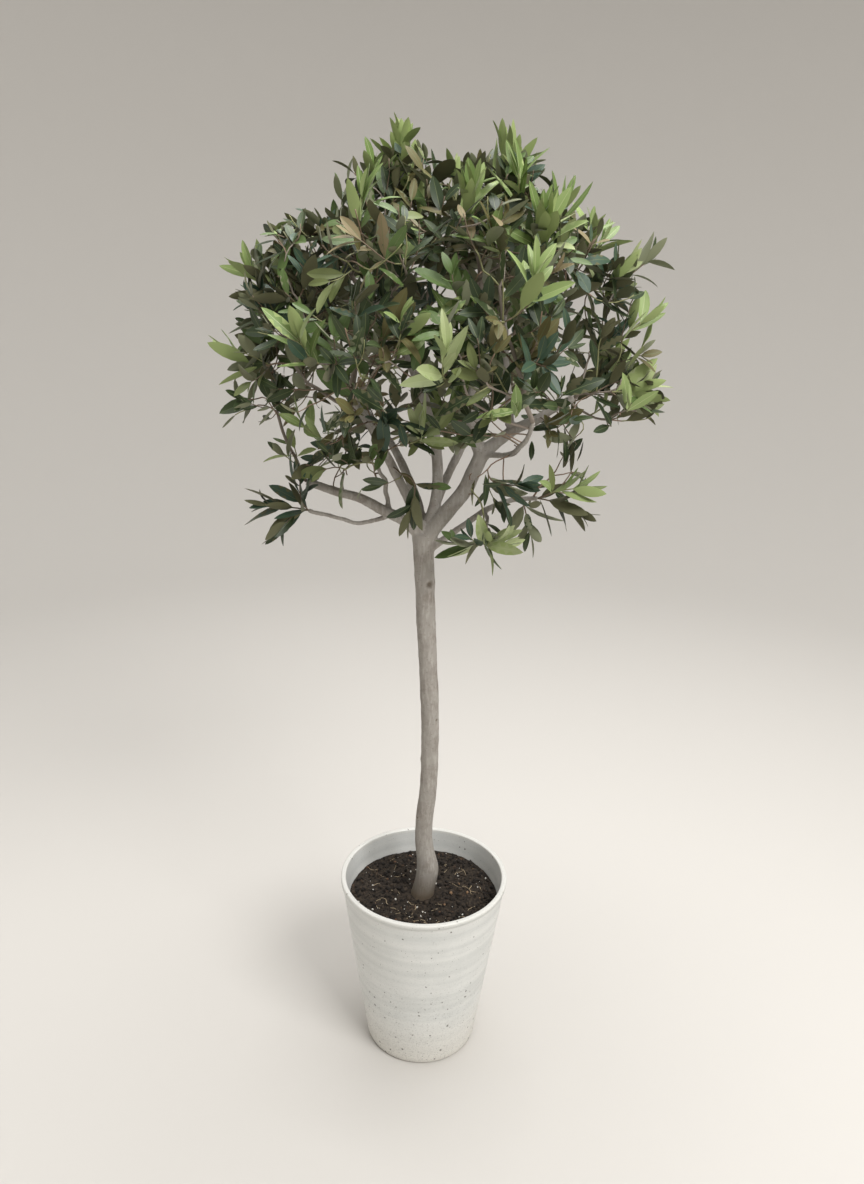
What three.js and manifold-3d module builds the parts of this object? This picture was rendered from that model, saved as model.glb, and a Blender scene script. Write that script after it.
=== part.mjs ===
// A potted olive standard: a clear stem in a tapered glazed planter, forking into boughs that carry a
// round, open crown. Millimetres, +Z up, the planter's underside centred on the origin.
import * as THREE from "three";
import { mergeVertices } from "three/addons/utils/BufferGeometryUtils.js";
import Module from "manifold-3d";

const wasm = await Module();
wasm.setup();

// Gap that neighbouring solids keep, and the wider one between masses of foliage.
const GAP = 0.3;
const MASS_GAP = 2.5;

// Soil keeps three gaps from the planter's wall. A limb counts as reaching a mass that is within
// two gaps of it.
const SOIL_CLEARANCE = 3 * GAP;
const TOUCHING = 2 * GAP;

// Corners nearer than this are one corner.
const WELD_DISTANCE = 1e-4;

// A piece that a cut leaves over is dropped when it is less than this share of the whole.
const CHIP = 0.05;

// Planter: a thrown stoneware pot with a thin proud lip and a rounded foot.
const POT_HEIGHT = 250;
const POT_RIM_RADIUS = 111;
const POT_FOOT_RADIUS = 75;
const POT_WALL = 6;
const POT_FLOOR = 9;
const POT_FOOT_ROUND = 5;
const LIP_HEIGHT = 6;
const LIP_PROUD = 0.8;
const LIP_ROUND = 2;
const POT_SIDES = 40;
const ROUND_STEPS = 2;

// The foot's round stops a little short of upright, where it meets the leaning wall.
const FOOT_ARC_END = -0.15;

// Potting soil, filled to a little below the rim.
const SOIL_TOP = 220;
const SOIL_SIDES = 32;

// Trunk: foot on the soil, slight double bend, top where the boughs part.
const TRUNK_SIDES = 12;
const TRUNK_STEPS = 18;
const TRUNK_BURIED = 8;
const TRUNK_LINE = [
  [-3, -4, SOIL_TOP - TRUNK_BURIED],
  [4, -2, 256],
  [-1, 0, 302],
  [4, 0, 392],
  [4, 0, 465],
  [-0.5, 0, 556],
  [-6, 0, 652],
  [-9.5, 0, 720],
];
const TRUNK_RADIUS = 11.2;
const FOOT_FLARE = 5;
const FOOT_FLARE_HEIGHT = 48;
const HEAD_FLARE = 2.2;
const HEAD_FLARE_HEIGHT = 60;

// Boughs: round tapering limbs. Each runs from one point to another, leaving and arriving along the
// given directions, and narrows evenly from its base radius to its tip radius.
const BOUGH_SIDES = 6;
const BOUGH_STEPS = 6;
const FORK = [-9, 0, 712];
const RIGHT_JUNCTION = [57, -6, 816];
const BOUGHS = [
  { name: "bough_right", from: FORK, to: [57, -6, 822], leave: [0.6, 0, 0.8], arrive: [0.2, 0, 1],
    base: 10, tip: 8.6 },
  { name: "bough_left", from: FORK, to: [-142, -30, 784], leave: [-0.6, -0.1, 0.85],
    arrive: [-1, -0.1, 0.3], base: 7.6, tip: 4.5 },
  { name: "bough_centre", from: FORK, to: [-40, 34, 936], leave: [0.45, 0.15, 1],
    arrive: [-0.5, 0.1, 0.9], base: 7.4, tip: 5.2 },
  { name: "bough_centre_left", from: FORK, to: [-84, -84, 884], leave: [-0.25, -0.2, 1],
    arrive: [-0.35, -0.5, 0.8], base: 6.6, tip: 4.2 },
  { name: "bough_back_left", from: FORK, to: [-104, 124, 866], leave: [-0.05, 0.6, 0.8],
    arrive: [-0.6, 0.5, 0.5], base: 6.4, tip: 4 },
  { name: "bough_back_right", from: FORK, to: [78, 128, 864], leave: [0.25, 0.5, 0.8],
    arrive: [0.5, 0.6, 0.5], base: 6.4, tip: 4 },
  { name: "bough_right_outer", from: RIGHT_JUNCTION, to: [156, -14, 882], leave: [0.7, 0, 0.75],
    arrive: [0.85, 0, 0.5], base: 7.6, tip: 4.4 },
  { name: "bough_right_inner", from: RIGHT_JUNCTION, to: [54, 6, 968], leave: [-0.6, 0.1, 0.8],
    arrive: [0.05, 0, 1], base: 7.2, tip: 4.6 },
  { name: "bough_right_front", from: RIGHT_JUNCTION, to: [100, -124, 868], leave: [0.8, -0.6, 0.05],
    arrive: [0, -0.6, 0.8], base: 3.6, tip: 2.8 },
  { name: "bough_right_riser", from: [86, -8, 848], to: [78, 12, 968], leave: [0, 0.1, 1],
    arrive: [0, 0.2, 1], base: 4.6, tip: 3.4 },
  { name: "bough_left_riser", from: [-50, -6, 746], to: [-62, -34, 806], leave: [0, -0.1, 1],
    arrive: [-0.3, -0.5, 0.9], base: 3.2, tip: 2.4 },
  { name: "bough_left_low", from: [-50, -6, 742], to: [-140, -34, 752], leave: [-0.8, -0.1, -0.45],
    arrive: [-1, -0.1, 0.4], base: 3, tip: 2.4 },
  { name: "bough_low_right", from: [-8, -2, 694], to: [122, -18, 768], leave: [0.75, -0.1, 0.65],
    arrive: [1, -0.1, 0], base: 4.4, tip: 3 },
  { name: "bough_low_front", from: [60, -10, 752], to: [62, -36, 724], leave: [0.6, -0.7, -0.4],
    arrive: [-0.3, -0.3, -0.9], base: 2.8, tip: 2.2 },
];

// Masses of foliage: a middle, three half-widths, a seed for the unevenness, and the shoots that stand
// out of the mass, each a direction and a reach in millimetres. Small masses have coarser faces.
const MASS_DETAIL = 3;
const SMALL_MASS_DETAIL = 2;
const SMALL_MASS = 60;
const WAVES = 6;
const WAVE_HEIGHT = 0.075;
const WAVES_ROUND_LEAST = 2.5;
const WAVES_ROUND_SPREAD = 3;
const SHOOT_WIDTH = 0.36;
const MASSES = [
  { name: "foliage_left", at: [-182, -12, 896], size: [54, 80, 60], seed: 11,
    shoots: [[-1, 0, 0.45, 34], [-0.8, 0.1, -0.3, 12]] },
  { name: "foliage_right", at: [190, -8, 904], size: [52, 80, 64], seed: 12,
    shoots: [[1, 0, 0.55, 28], [0.8, 0, -0.7, 16], [0.8, 0.5, 0.2, 10]] },
  { name: "foliage_front_left", at: [-84, -156, 918], size: [78, 56, 62], seed: 13,
    shoots: [[-0.3, -1, 0.2, 16]] },
  { name: "foliage_front_right", at: [72, -160, 922], size: [78, 54, 62], seed: 14,
    shoots: [[0.3, -1, 0.1, 18]] },
  { name: "foliage_back_left", at: [-98, 156, 912], size: [84, 60, 72], seed: 15,
    shoots: [[-0.5, 0.9, 0.1, 16], [0, 0.8, -0.6, 10]] },
  { name: "foliage_back_right", at: [86, 158, 906], size: [84, 60, 72], seed: 16,
    shoots: [[0.4, 0.9, 0.1, 16], [0.7, 0.6, -0.4, 10]] },
  { name: "foliage_upper_left", at: [-150, -12, 1014], size: [52, 78, 52], seed: 17,
    shoots: [[-0.9, 0, 0.2, 12]] },
  { name: "foliage_upper_right", at: [164, -8, 1022], size: [58, 78, 54], seed: 18,
    shoots: [[0.9, 0, 0.2, 20], [0.5, -0.2, 0.9, 14]] },
  { name: "foliage_upper_front_left", at: [-66, -132, 1032], size: [66, 60, 50], seed: 19,
    shoots: [[-0.3, -0.8, 0.5, 14]] },
  { name: "foliage_upper_front_right", at: [70, -134, 1036], size: [66, 60, 50], seed: 20,
    shoots: [[0.2, -0.8, 0.6, 16]] },
  { name: "foliage_upper_back_left", at: [-70, 134, 1030], size: [68, 60, 50], seed: 21,
    shoots: [[-0.3, 0.8, 0.5, 14]] },
  { name: "foliage_upper_back_right", at: [72, 136, 1028], size: [68, 60, 50], seed: 22,
    shoots: [[0.3, 0.8, 0.5, 16]] },
  { name: "foliage_top_left", at: [-58, 2, 1082], size: [62, 74, 38], seed: 23,
    shoots: [[0.2, 0, 1, 62]] },
  { name: "foliage_top_right", at: [72, 0, 1084], size: [66, 74, 42], seed: 24,
    shoots: [[0.55, 0, 1, 36], [-0.55, 0, 1, 32]] },
  { name: "foliage_heart", at: [-4, 6, 990], size: [92, 76, 44], seed: 25, shoots: [] },
  { name: "foliage_low_left", at: [-156, -32, 790], size: [58, 58, 38], seed: 26,
    shoots: [[-0.5, 0, -0.8, 14], [-0.9, 0, 0.5, 16]] },
  { name: "foliage_low_middle", at: [-78, -56, 826], size: [40, 42, 30], seed: 30, shoots: [] },
  { name: "foliage_low_right", at: [136, -14, 784], size: [52, 50, 36], seed: 27,
    shoots: [[0.9, 0, -0.2, 14]] },
  { name: "foliage_low_front", at: [66, -40, 727], size: [36, 34, 20], seed: 28,
    shoots: [[0.6, 0, -0.6, 8]] },
  { name: "foliage_low_back", at: [-6, 118, 828], size: [62, 46, 34], seed: 29, shoots: [] },
];

const FINISH = {
  glaze: { color: 0xd6d6cf, roughness: 0.5, metalness: 0 },
  soil: { color: 0x2b211b, roughness: 1, metalness: 0 },
  bark: { color: 0x938a80, roughness: 0.9, metalness: 0 },
  foliage: { color: 0x43593a, roughness: 0.7, metalness: 0 },
};

/** A repeatable stream of numbers from 0 to 1. */
function stream(seed) {
  let state = seed * 2654435761;
  return () => {
    state = (state + 0x6d2b79f5) | 0;
    let mixed = Math.imul(state ^ (state >>> 15), 1 | state);
    mixed = (mixed + Math.imul(mixed ^ (mixed >>> 7), 61 | mixed)) ^ mixed;
    return ((mixed ^ (mixed >>> 14)) >>> 0) / 4294967296;
  };
}

/** Points of a quarter circle of the given radius, from one angle to another, about a middle. */
function arc(middleX, middleZ, radius, start, end) {
  const points = [];
  for (let i = 0; i <= ROUND_STEPS; i += 1) {
    const angle = start + ((end - start) * i) / ROUND_STEPS;
    points.push(new THREE.Vector2(middleX + radius * Math.cos(angle), middleZ + radius * Math.sin(angle)));
  }
  return points;
}

/** A profile of (radius, height) points turned about the z axis. */
function turned(profile, sides) {
  const geometry = new THREE.LatheGeometry(profile, sides);
  geometry.rotateX(Math.PI / 2);
  return geometry;
}

/** Outer radius of the planter's straight wall at a height. */
function potRadius(z) {
  return POT_FOOT_RADIUS + ((POT_RIM_RADIUS - LIP_PROUD - POT_FOOT_RADIUS) * z) / POT_HEIGHT;
}

/** The planter: a thin-walled open shell. */
function potGeometry() {
  const lipInner = potRadius(POT_HEIGHT) - POT_WALL;
  const profile = [
    new THREE.Vector2(0, 0),
    ...arc(POT_FOOT_RADIUS - POT_FOOT_ROUND, POT_FOOT_ROUND, POT_FOOT_ROUND, -Math.PI / 2, FOOT_ARC_END),
    new THREE.Vector2(potRadius(POT_HEIGHT - LIP_HEIGHT - LIP_PROUD), POT_HEIGHT - LIP_HEIGHT - LIP_PROUD),
    new THREE.Vector2(POT_RIM_RADIUS, POT_HEIGHT - LIP_HEIGHT),
    ...arc(POT_RIM_RADIUS - LIP_ROUND, POT_HEIGHT - LIP_ROUND, LIP_ROUND, 0, Math.PI / 2),
    ...arc(lipInner + LIP_ROUND, POT_HEIGHT - LIP_ROUND, LIP_ROUND, Math.PI / 2, Math.PI),
    new THREE.Vector2(potRadius(POT_FLOOR) - POT_WALL, POT_FLOOR),
    new THREE.Vector2(0, POT_FLOOR),
  ];
  return turned(profile, POT_SIDES);
}

/** The soil: a plug that fills the planter from its floor to the soil's level. */
function soilGeometry() {
  const bottom = POT_FLOOR + GAP;
  const clear = POT_WALL + SOIL_CLEARANCE;
  const profile = [
    new THREE.Vector2(0, bottom),
    new THREE.Vector2(potRadius(bottom) - clear, bottom),
    new THREE.Vector2(potRadius(SOIL_TOP) - clear, SOIL_TOP),
    new THREE.Vector2(0, SOIL_TOP),
  ];
  return turned(profile, SOIL_SIDES);
}

/** A closed round tube along a curve. radiusAt gives its radius from the share of the way along it. */
function taperedTube(curve, radiusAt, sides, steps, grow) {
  const frames = curve.computeFrenetFrames(steps, false);
  const geometry = new THREE.CylinderGeometry(1, 1, 1, sides, steps);
  const places = geometry.attributes.position;
  for (let i = 0; i < places.count; i += 1) {
    const step = Math.round((places.getY(i) + 0.5) * steps);
    const share = step / steps;
    const radius = radiusAt(share) + grow;
    const point = curve.getPointAt(share);
    if (step === 0) {
      point.addScaledVector(frames.tangents[step], -grow);
    }
    if (step === steps) {
      point.addScaledVector(frames.tangents[step], grow);
    }
    point.addScaledVector(frames.normals[step], radius * places.getX(i));
    point.addScaledVector(frames.binormals[step], -radius * places.getZ(i));
    places.setXYZ(i, point.x, point.y, point.z);
  }
  return geometry;
}

/** The trunk, reaching a little into the soil, where it is cut off level. */
function trunkGeometry(grow) {
  const curve = new THREE.CatmullRomCurve3(TRUNK_LINE.map((p) => new THREE.Vector3(...p)));
  const length = curve.getLength();
  const radiusAt = (share) => {
    const fromFoot = Math.max(share * length - TRUNK_BURIED, 0) / FOOT_FLARE_HEIGHT;
    const fromHead = ((1 - share) * length) / HEAD_FLARE_HEIGHT;
    return TRUNK_RADIUS + FOOT_FLARE * Math.exp(-(fromFoot ** 2)) + HEAD_FLARE * Math.exp(-fromHead);
  };
  return taperedTube(curve, radiusAt, TRUNK_SIDES, TRUNK_STEPS, grow);
}

/** One bough along its own bend. */
function boughGeometry(bough, grow) {
  const from = new THREE.Vector3(...bough.from);
  const to = new THREE.Vector3(...bough.to);
  const pull = from.distanceTo(to) / 3;
  const leave = new THREE.Vector3(...bough.leave).setLength(pull);
  const arrive = new THREE.Vector3(...bough.arrive).setLength(pull);
  const curve = new THREE.CubicBezierCurve3(from, from.clone().add(leave), to.clone().sub(arrive), to);
  const radiusAt = (share) => bough.base + (bough.tip - bough.base) * share;
  return taperedTube(curve, radiusAt, BOUGH_SIDES, BOUGH_STEPS, grow);
}

/** One uneven mass: a ball of small faces, stretched to its size and pushed out along its shoots. */
function massGeometry(mass, grow) {
  const next = stream(mass.seed);
  const waves = [];
  for (let i = 0; i < WAVES; i += 1) {
    const axis = new THREE.Vector3(next() - 0.5, next() - 0.5, next() - 0.5);
    axis.setLength(WAVES_ROUND_LEAST + WAVES_ROUND_SPREAD * next());
    waves.push({ axis, phase: 2 * Math.PI * next() });
  }
  const shoots = mass.shoots.map(([x, y, z, reach]) => {
    return { along: new THREE.Vector3(x, y, z).normalize(), reach };
  });
  const detail = Math.max(...mass.size) < SMALL_MASS ? SMALL_MASS_DETAIL : MASS_DETAIL;
  const geometry = new THREE.IcosahedronGeometry(1, detail);
  const places = geometry.attributes.position;
  for (let i = 0; i < places.count; i += 1) {
    const ball = new THREE.Vector3().fromBufferAttribute(places, i).normalize();
    let swell = 1;
    for (const { axis, phase } of waves) {
      swell += WAVE_HEIGHT * Math.sin(axis.dot(ball) + phase);
    }
    const point = ball.multiply(new THREE.Vector3(...mass.size)).multiplyScalar(swell);
    let reach = grow;
    for (const shoot of shoots) {
      reach += shoot.reach * Math.exp(-((point.angleTo(shoot.along) / SHOOT_WIDTH) ** 2));
    }
    point.setLength(point.length() + reach).add(new THREE.Vector3(...mass.at));
    places.setXYZ(i, point.x, point.y, point.z);
  }
  return geometry;
}

/** A geometry as a solid that can be cut. */
function solidOf(geometry) {
  const bare = geometry.clone();
  bare.deleteAttribute("normal");
  bare.deleteAttribute("uv");
  const merged = mergeVertices(bare, WELD_DISTANCE);
  const vertProperties = new Float32Array(merged.attributes.position.array);
  const triVerts = new Uint32Array(merged.index.array);
  return new wasm.Manifold(new wasm.Mesh({ numProp: 3, vertProperties, triVerts }));
}

/** A solid as a geometry that can be shown. */
function geometryOf(solid) {
  const mesh = solid.getMesh();
  const geometry = new THREE.BufferGeometry();
  geometry.setAttribute("position", new THREE.BufferAttribute(Float32Array.from(mesh.vertProperties), 3));
  geometry.setIndex(new THREE.BufferAttribute(Uint32Array.from(mesh.triVerts), 1));
  geometry.computeVertexNormals();
  return geometry;
}

/** Distance from a point to the nearest corner of a solid. */
function distanceTo(solid, point) {
  const corners = solid.getMesh().vertProperties;
  const corner = new THREE.Vector3();
  let nearest = Infinity;
  for (let i = 0; i < corners.length; i += 3) {
    corner.set(corners[i], corners[i + 1], corners[i + 2]);
    nearest = Math.min(nearest, corner.distanceTo(point));
  }
  return nearest;
}

/** What a solid keeps once its neighbours are cut away: the one piece that scores lowest. */
function carved(solid, neighbours, score) {
  let rest = solid;
  for (const neighbour of neighbours) {
    rest = rest.subtract(neighbour);
  }
  const pieces = rest.decompose().filter((piece) => piece.volume() > CHIP * solid.volume());
  pieces.sort((a, b) => score(a) - score(b));
  return pieces[0];
}

const group = new THREE.Group();

/** Adds one named sub-part with its own finish. */
function add(name, geometry, finish) {
  const part = new THREE.Mesh(geometry, new THREE.MeshStandardMaterial(finish));
  part.name = name;
  group.add(part);
}

add("pot", potGeometry(), FINISH.glaze);
add("soil", soilGeometry(), FINISH.soil);

// The ground cuts the trunk off level at the soil.
const ground = new THREE.BoxGeometry(2 * POT_RIM_RADIUS, 2 * POT_RIM_RADIUS, SOIL_TOP);
ground.translate(0, 0, SOIL_TOP / 2 + GAP);
add("trunk", geometryOf(solidOf(trunkGeometry(0)).subtract(solidOf(ground))), FINISH.bark);

// Each mass gives way to the ones before it.
const massesGrown = [];
const massSolids = [];
for (const mass of MASSES) {
  const solid = carved(solidOf(massGeometry(mass, 0)), massesGrown, (piece) => -piece.volume());
  massSolids.push(solid);
  massesGrown.push(solidOf(massGeometry(mass, MASS_GAP)));
}

// Each bough starts at the trunk or at a thicker bough, and stops where it enters a mass.
const massesTouching = MASSES.map((mass) => solidOf(massGeometry(mass, TOUCHING)));
const limbsGrown = [solidOf(trunkGeometry(GAP))];
for (const bough of BOUGHS) {
  const start = new THREE.Vector3(...bough.from);
  const neighbours = [...limbsGrown, ...massesTouching];
  const solid = carved(solidOf(boughGeometry(bough, 0)), neighbours, (piece) => distanceTo(piece, start));
  add(bough.name, geometryOf(solid), FINISH.bark);
  limbsGrown.push(solidOf(boughGeometry(bough, GAP)));
}

MASSES.forEach((mass, i) => add(mass.name, geometryOf(massSolids[i]), FINISH.foliage));

export default group;
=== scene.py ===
"""A potted olive standard: stoneware planter, compost, stem and boughs, and a crown grown twig by twig.

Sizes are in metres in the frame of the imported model: +Z up, the planter's underside on z = 0, the front
of the plant towards -Y.
"""

import itertools
import logging
import math
from dataclasses import dataclass, field
from enum import Enum

import bpy
import numpy as np
from mathutils import Matrix, Vector


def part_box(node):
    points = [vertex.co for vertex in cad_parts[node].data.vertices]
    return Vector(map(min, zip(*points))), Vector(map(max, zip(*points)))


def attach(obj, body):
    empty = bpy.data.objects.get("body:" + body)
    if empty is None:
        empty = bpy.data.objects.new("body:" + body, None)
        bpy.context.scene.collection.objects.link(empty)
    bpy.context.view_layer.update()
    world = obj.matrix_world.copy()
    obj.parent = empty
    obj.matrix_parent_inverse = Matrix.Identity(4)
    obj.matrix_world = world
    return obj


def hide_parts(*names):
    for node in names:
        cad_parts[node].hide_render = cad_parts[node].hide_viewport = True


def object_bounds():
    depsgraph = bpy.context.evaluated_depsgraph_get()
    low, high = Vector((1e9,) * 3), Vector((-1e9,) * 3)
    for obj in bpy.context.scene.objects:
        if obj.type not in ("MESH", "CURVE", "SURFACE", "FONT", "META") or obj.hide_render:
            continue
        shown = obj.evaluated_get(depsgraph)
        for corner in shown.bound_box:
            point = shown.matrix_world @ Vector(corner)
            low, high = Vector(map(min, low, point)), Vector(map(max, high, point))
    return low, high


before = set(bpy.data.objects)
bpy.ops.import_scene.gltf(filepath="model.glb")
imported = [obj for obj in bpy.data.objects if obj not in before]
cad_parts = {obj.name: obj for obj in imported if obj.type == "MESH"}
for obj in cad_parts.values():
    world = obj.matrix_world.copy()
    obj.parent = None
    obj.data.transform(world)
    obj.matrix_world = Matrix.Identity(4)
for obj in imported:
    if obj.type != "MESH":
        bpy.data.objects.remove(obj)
CAD_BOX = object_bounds()

MM = 0.001
# Keeps a division by a length from failing where the length is zero.
TINY = 1e-12
UP = np.array([0.0, 0.0, 1.0])
Array = np.ndarray
Socket = bpy.types.NodeSocket
Triple = tuple[float, float, float]
Span = tuple[float, float]
# A shape's corners and its triangles.
Shape = tuple[Array, Array]
LOG = logging.getLogger("olive")

# Sockets of the colour Mix node, whose inputs share their names.
MIX_A = 6
MIX_B = 7
MIX_RESULT = 2


# ------------------------------------------------------------------------------------------ small tools


def linear(colour: str) -> tuple[float, float, float, float]:
    """Turns an sRGB hex colour into linear light.

    Args:
        colour: a colour such as "#8f877e".

    Returns:
        Linear red, green, blue, and an alpha of 1.
    """
    parts = [int(colour[i : i + 2], 16) / 255 for i in (1, 3, 5)]
    lit = [p / 12.92 if p <= 0.04045 else ((p + 0.055) / 1.055) ** 2.4 for p in parts]
    return (lit[0], lit[1], lit[2], 1.0)


def unit(vectors: Array) -> Array:
    """Vectors scaled to length one, along the last axis."""
    return vectors / np.maximum(np.linalg.norm(vectors, axis=-1, keepdims=True), TINY)


def smooth_step(low: float, high: float, value: Array) -> Array:
    """Rises from 0 at low to 1 at high along 3t^2 - 2t^3."""
    share = np.clip((value - low) / (high - low), 0, 1)
    return share * share * (3 - 2 * share)


def value_noise(places: Array, seed: int) -> Array:
    """Smooth random field: random numbers on a unit lattice, blended between the eight nearest.

    The weight along each axis is the smooth step 3t^2 - 2t^3 of the way across the cell.

    Args:
        places: points, one row each, measured in lattice cells.
        seed: picks the field.

    Returns:
        One number from -1 to 1 for each point.
    """
    cell = np.floor(places).astype(np.int64)
    way = places - cell
    way = way * way * (3 - 2 * way)
    total = np.zeros(len(places))
    for corner in itertools.product((0, 1), repeat=3):
        at = cell + np.array(corner)
        mixed = (at[:, 0] * 73856093) ^ (at[:, 1] * 19349663) ^ (at[:, 2] * 83492791) ^ (seed * 40503)
        mixed = ((mixed ^ (mixed >> 13)) * 1274126177) & 0xFFFFFFFF
        number = ((mixed ^ (mixed >> 15)) & 0xFFFF) / 0xFFFF
        total += number * np.prod(np.where(corner, way, 1 - way), axis=1)
    return 2 * total - 1


def layered_noise(places: Array, seed: int, layers: int = 3) -> Array:
    """Sum of value noise at doubling fineness and halving height, from about -1 to 1."""
    heights = [0.5**i for i in range(layers)]
    fields = [h * value_noise(places * 2**i, seed + i) for i, h in enumerate(heights)]
    return np.sum(fields, axis=0) / sum(heights)


def mesh_piece(
    name: str,
    points: Array,
    faces: Array,
    materials: list[bpy.types.Material],
    material_of_face: Array | None = None,
    sharp_points: Array | None = None,
) -> bpy.types.Object:
    """Makes a smooth-shaded object of triangles.

    Args:
        name: the piece's name.
        points: corners, one row each.
        faces: rows of three corner numbers, counter-clockwise from outside.
        materials: the piece's finishes.
        material_of_face: which finish each face has; the first if left out.
        sharp_points: marks corners; an edge between two marked corners is shaded as a crease.

    Returns:
        The new object, linked to the scene.
    """
    mesh = bpy.data.meshes.new(name)
    mesh.vertices.add(len(points))
    mesh.vertices.foreach_set("co", np.ascontiguousarray(points, np.float32).ravel())
    mesh.loops.add(faces.size)
    mesh.loops.foreach_set("vertex_index", np.ascontiguousarray(faces, np.int32).ravel())
    mesh.polygons.add(len(faces))
    mesh.polygons.foreach_set("loop_start", np.arange(0, faces.size, 3, dtype=np.int32))
    if material_of_face is not None:
        mesh.polygons.foreach_set("material_index", np.ascontiguousarray(material_of_face, np.int32))
    mesh.polygons.foreach_set("use_smooth", np.ones(len(faces), bool))
    mesh.update(calc_edges=True)
    if sharp_points is not None:
        ends = np.zeros(len(mesh.edges) * 2, np.int32)
        mesh.edges.foreach_get("vertices", ends)
        crease = mesh.attributes.new("sharp_edge", "BOOLEAN", "EDGE")
        crease.data.foreach_set("value", sharp_points[ends.reshape(-1, 2)].all(axis=1))
    for material in materials:
        mesh.materials.append(material)
    piece = bpy.data.objects.new(name, mesh)
    bpy.context.scene.collection.objects.link(piece)
    return piece


def dress(piece: bpy.types.Object, nodes: list[str]) -> bpy.types.Object:
    """Ties a piece to the part: it rides on the one body, and the CAD nodes it stands for are hidden."""
    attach(piece, "root")
    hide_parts(*nodes)
    LOG.info("%s: %d faces", piece.name, len(piece.data.polygons))
    return piece


def grid_faces(rows: int, columns: int, closed: bool) -> Array:
    """Triangles of a grid of rows by columns of corners.

    Args:
        rows: number of rows of corners.
        columns: number of corners in a row.
        closed: whether the last column joins the first.

    Returns:
        Rows of three corner numbers, facing the way that rows x columns turns.
    """
    spans = columns if closed else columns - 1
    row, column = np.meshgrid(np.arange(rows - 1), np.arange(spans), indexing="ij")
    row, column = row.ravel(), column.ravel()
    beside = (column + 1) % columns
    a, b = row * columns + column, row * columns + beside
    c, d = (row + 1) * columns + beside, (row + 1) * columns + column
    return np.concatenate([np.stack([a, b, c], 1), np.stack([a, c, d], 1)])


def circle(sides: int) -> tuple[Array, Array]:
    """Cosine and sine of even angles round a circle."""
    angle = np.arange(sides) * 2 * math.pi / sides
    return np.cos(angle), np.sin(angle)


def ring_points(outline: Array, sides: int) -> Array:
    """Corners of an outline swept round the z axis: x = r cos a, y = r sin a.

    Args:
        outline: rows of radius and height.
        sides: corners round the circle.

    Returns:
        Points, ring after ring.
    """
    cos, sin = circle(sides)
    height = np.repeat(outline[:, 1:2], sides, axis=1)
    return np.stack([outline[:, :1] * cos, outline[:, :1] * sin, height], axis=-1).reshape(-1, 3)


def closed_rings(points: Array, poles: Array, sides: int) -> Shape:
    """Rings of corners joined into a closed skin, with a fan of triangles to a pole at each end.

    Args:
        points: corners, ring after ring.
        poles: the point before the first ring and the one after the last.
        sides: corners in a ring.

    Returns:
        Corners, with the poles last, and triangles.
    """
    first, last = len(points), len(points) + 1
    here = np.arange(sides)
    beside = (here + 1) % sides
    end = first - sides
    faces = [
        grid_faces(first // sides, sides, closed=True),
        np.stack([np.full(sides, first), beside, here], 1),
        np.stack([np.full(sides, last), end + here, end + beside], 1),
    ]
    return np.concatenate([points, poles]), np.concatenate(faces)


def turned_body(profile: Array, sides: int) -> Shape:
    """A closed body of revolution about the z axis.

    Each profile point (radius, height) is swept round a circle: x = r cos a, y = r sin a. The profile
    runs from the axis below to the axis above with the outside on its right.

    Args:
        profile: rows of radius and height; the first and last lie on the axis.
        sides: corners round the circle.

    Returns:
        Corners and triangles.
    """
    poles = np.array([[0, 0, profile[0, 1]], [0, 0, profile[-1, 1]]])
    return closed_rings(ring_points(profile[1:-1], sides), poles, sides)


def carried_frames(path: Array) -> tuple[Array, Array, Array]:
    """Directions along a path and two across it, each turned as little as possible from the one before.

    Args:
        path: points of the path, one row each.

    Returns:
        Unit vectors along, across, and across again, one row for each point.
    """
    along = unit(np.gradient(path, axis=0))
    across = np.zeros_like(path)
    guess = np.array([1.0, 0.0, 0.0]) if abs(along[0, 0]) < 0.8 else np.array([0.0, 1.0, 0.0])
    for i, direction in enumerate(along):
        guess = guess - direction * (guess @ direction)
        guess = guess / np.linalg.norm(guess)
        across[i] = guess
    return along, across, np.cross(along, across)


def tube(path: Array, radii: Array, sides: int) -> Shape:
    """A closed round tube: a circle of the given radius carried along a path, with a point at each end.

    Args:
        path: points of the centreline.
        radii: radius at each point.
        sides: corners round the tube.

    Returns:
        Corners and triangles.
    """
    _, across, over = carried_frames(path)
    cos, sin = circle(sides)
    round_way = across[:, None] * cos[:, None] + over[:, None] * sin[:, None]
    points = (path[:, None] + radii[:, None, None] * round_way).reshape(-1, 3)
    return closed_rings(points, path[[0, -1]], sides)


def joined(shapes: list[Shape]) -> Shape:
    """Several shapes as one set of corners and faces."""
    offsets = np.cumsum([0] + [len(points) for points, _ in shapes[:-1]])
    faces = [f + offset for (_, f), offset in zip(shapes, offsets)]
    return np.concatenate([points for points, _ in shapes]), np.concatenate(faces)


# -------------------------------------------------------------------------------------------- materials


def add_node(
    tree: bpy.types.NodeTree, kind: str, inputs: dict | None = None, **settings: object
) -> bpy.types.Node:
    """Adds a shader node.

    Args:
        tree: the material's tree.
        kind: the node's type, such as "ShaderNodeTexNoise".
        inputs: socket name or number to a value, or to another node's output, which is linked.
        settings: properties of the node itself.

    Returns:
        The new node.
    """
    node = tree.nodes.new(kind)
    for key, value in settings.items():
        setattr(node, key, value)
    for key, value in (inputs or {}).items():
        if isinstance(value, Socket):
            tree.links.new(value, node.inputs[key])
        else:
            node.inputs[key].default_value = value
    return node


def plain_sockets(colour: str, roughness: float, ior: float) -> dict:
    """The shader's sockets that every finish sets."""
    return {"Base Color": linear(colour), "Roughness": roughness, "IOR": ior}


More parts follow.
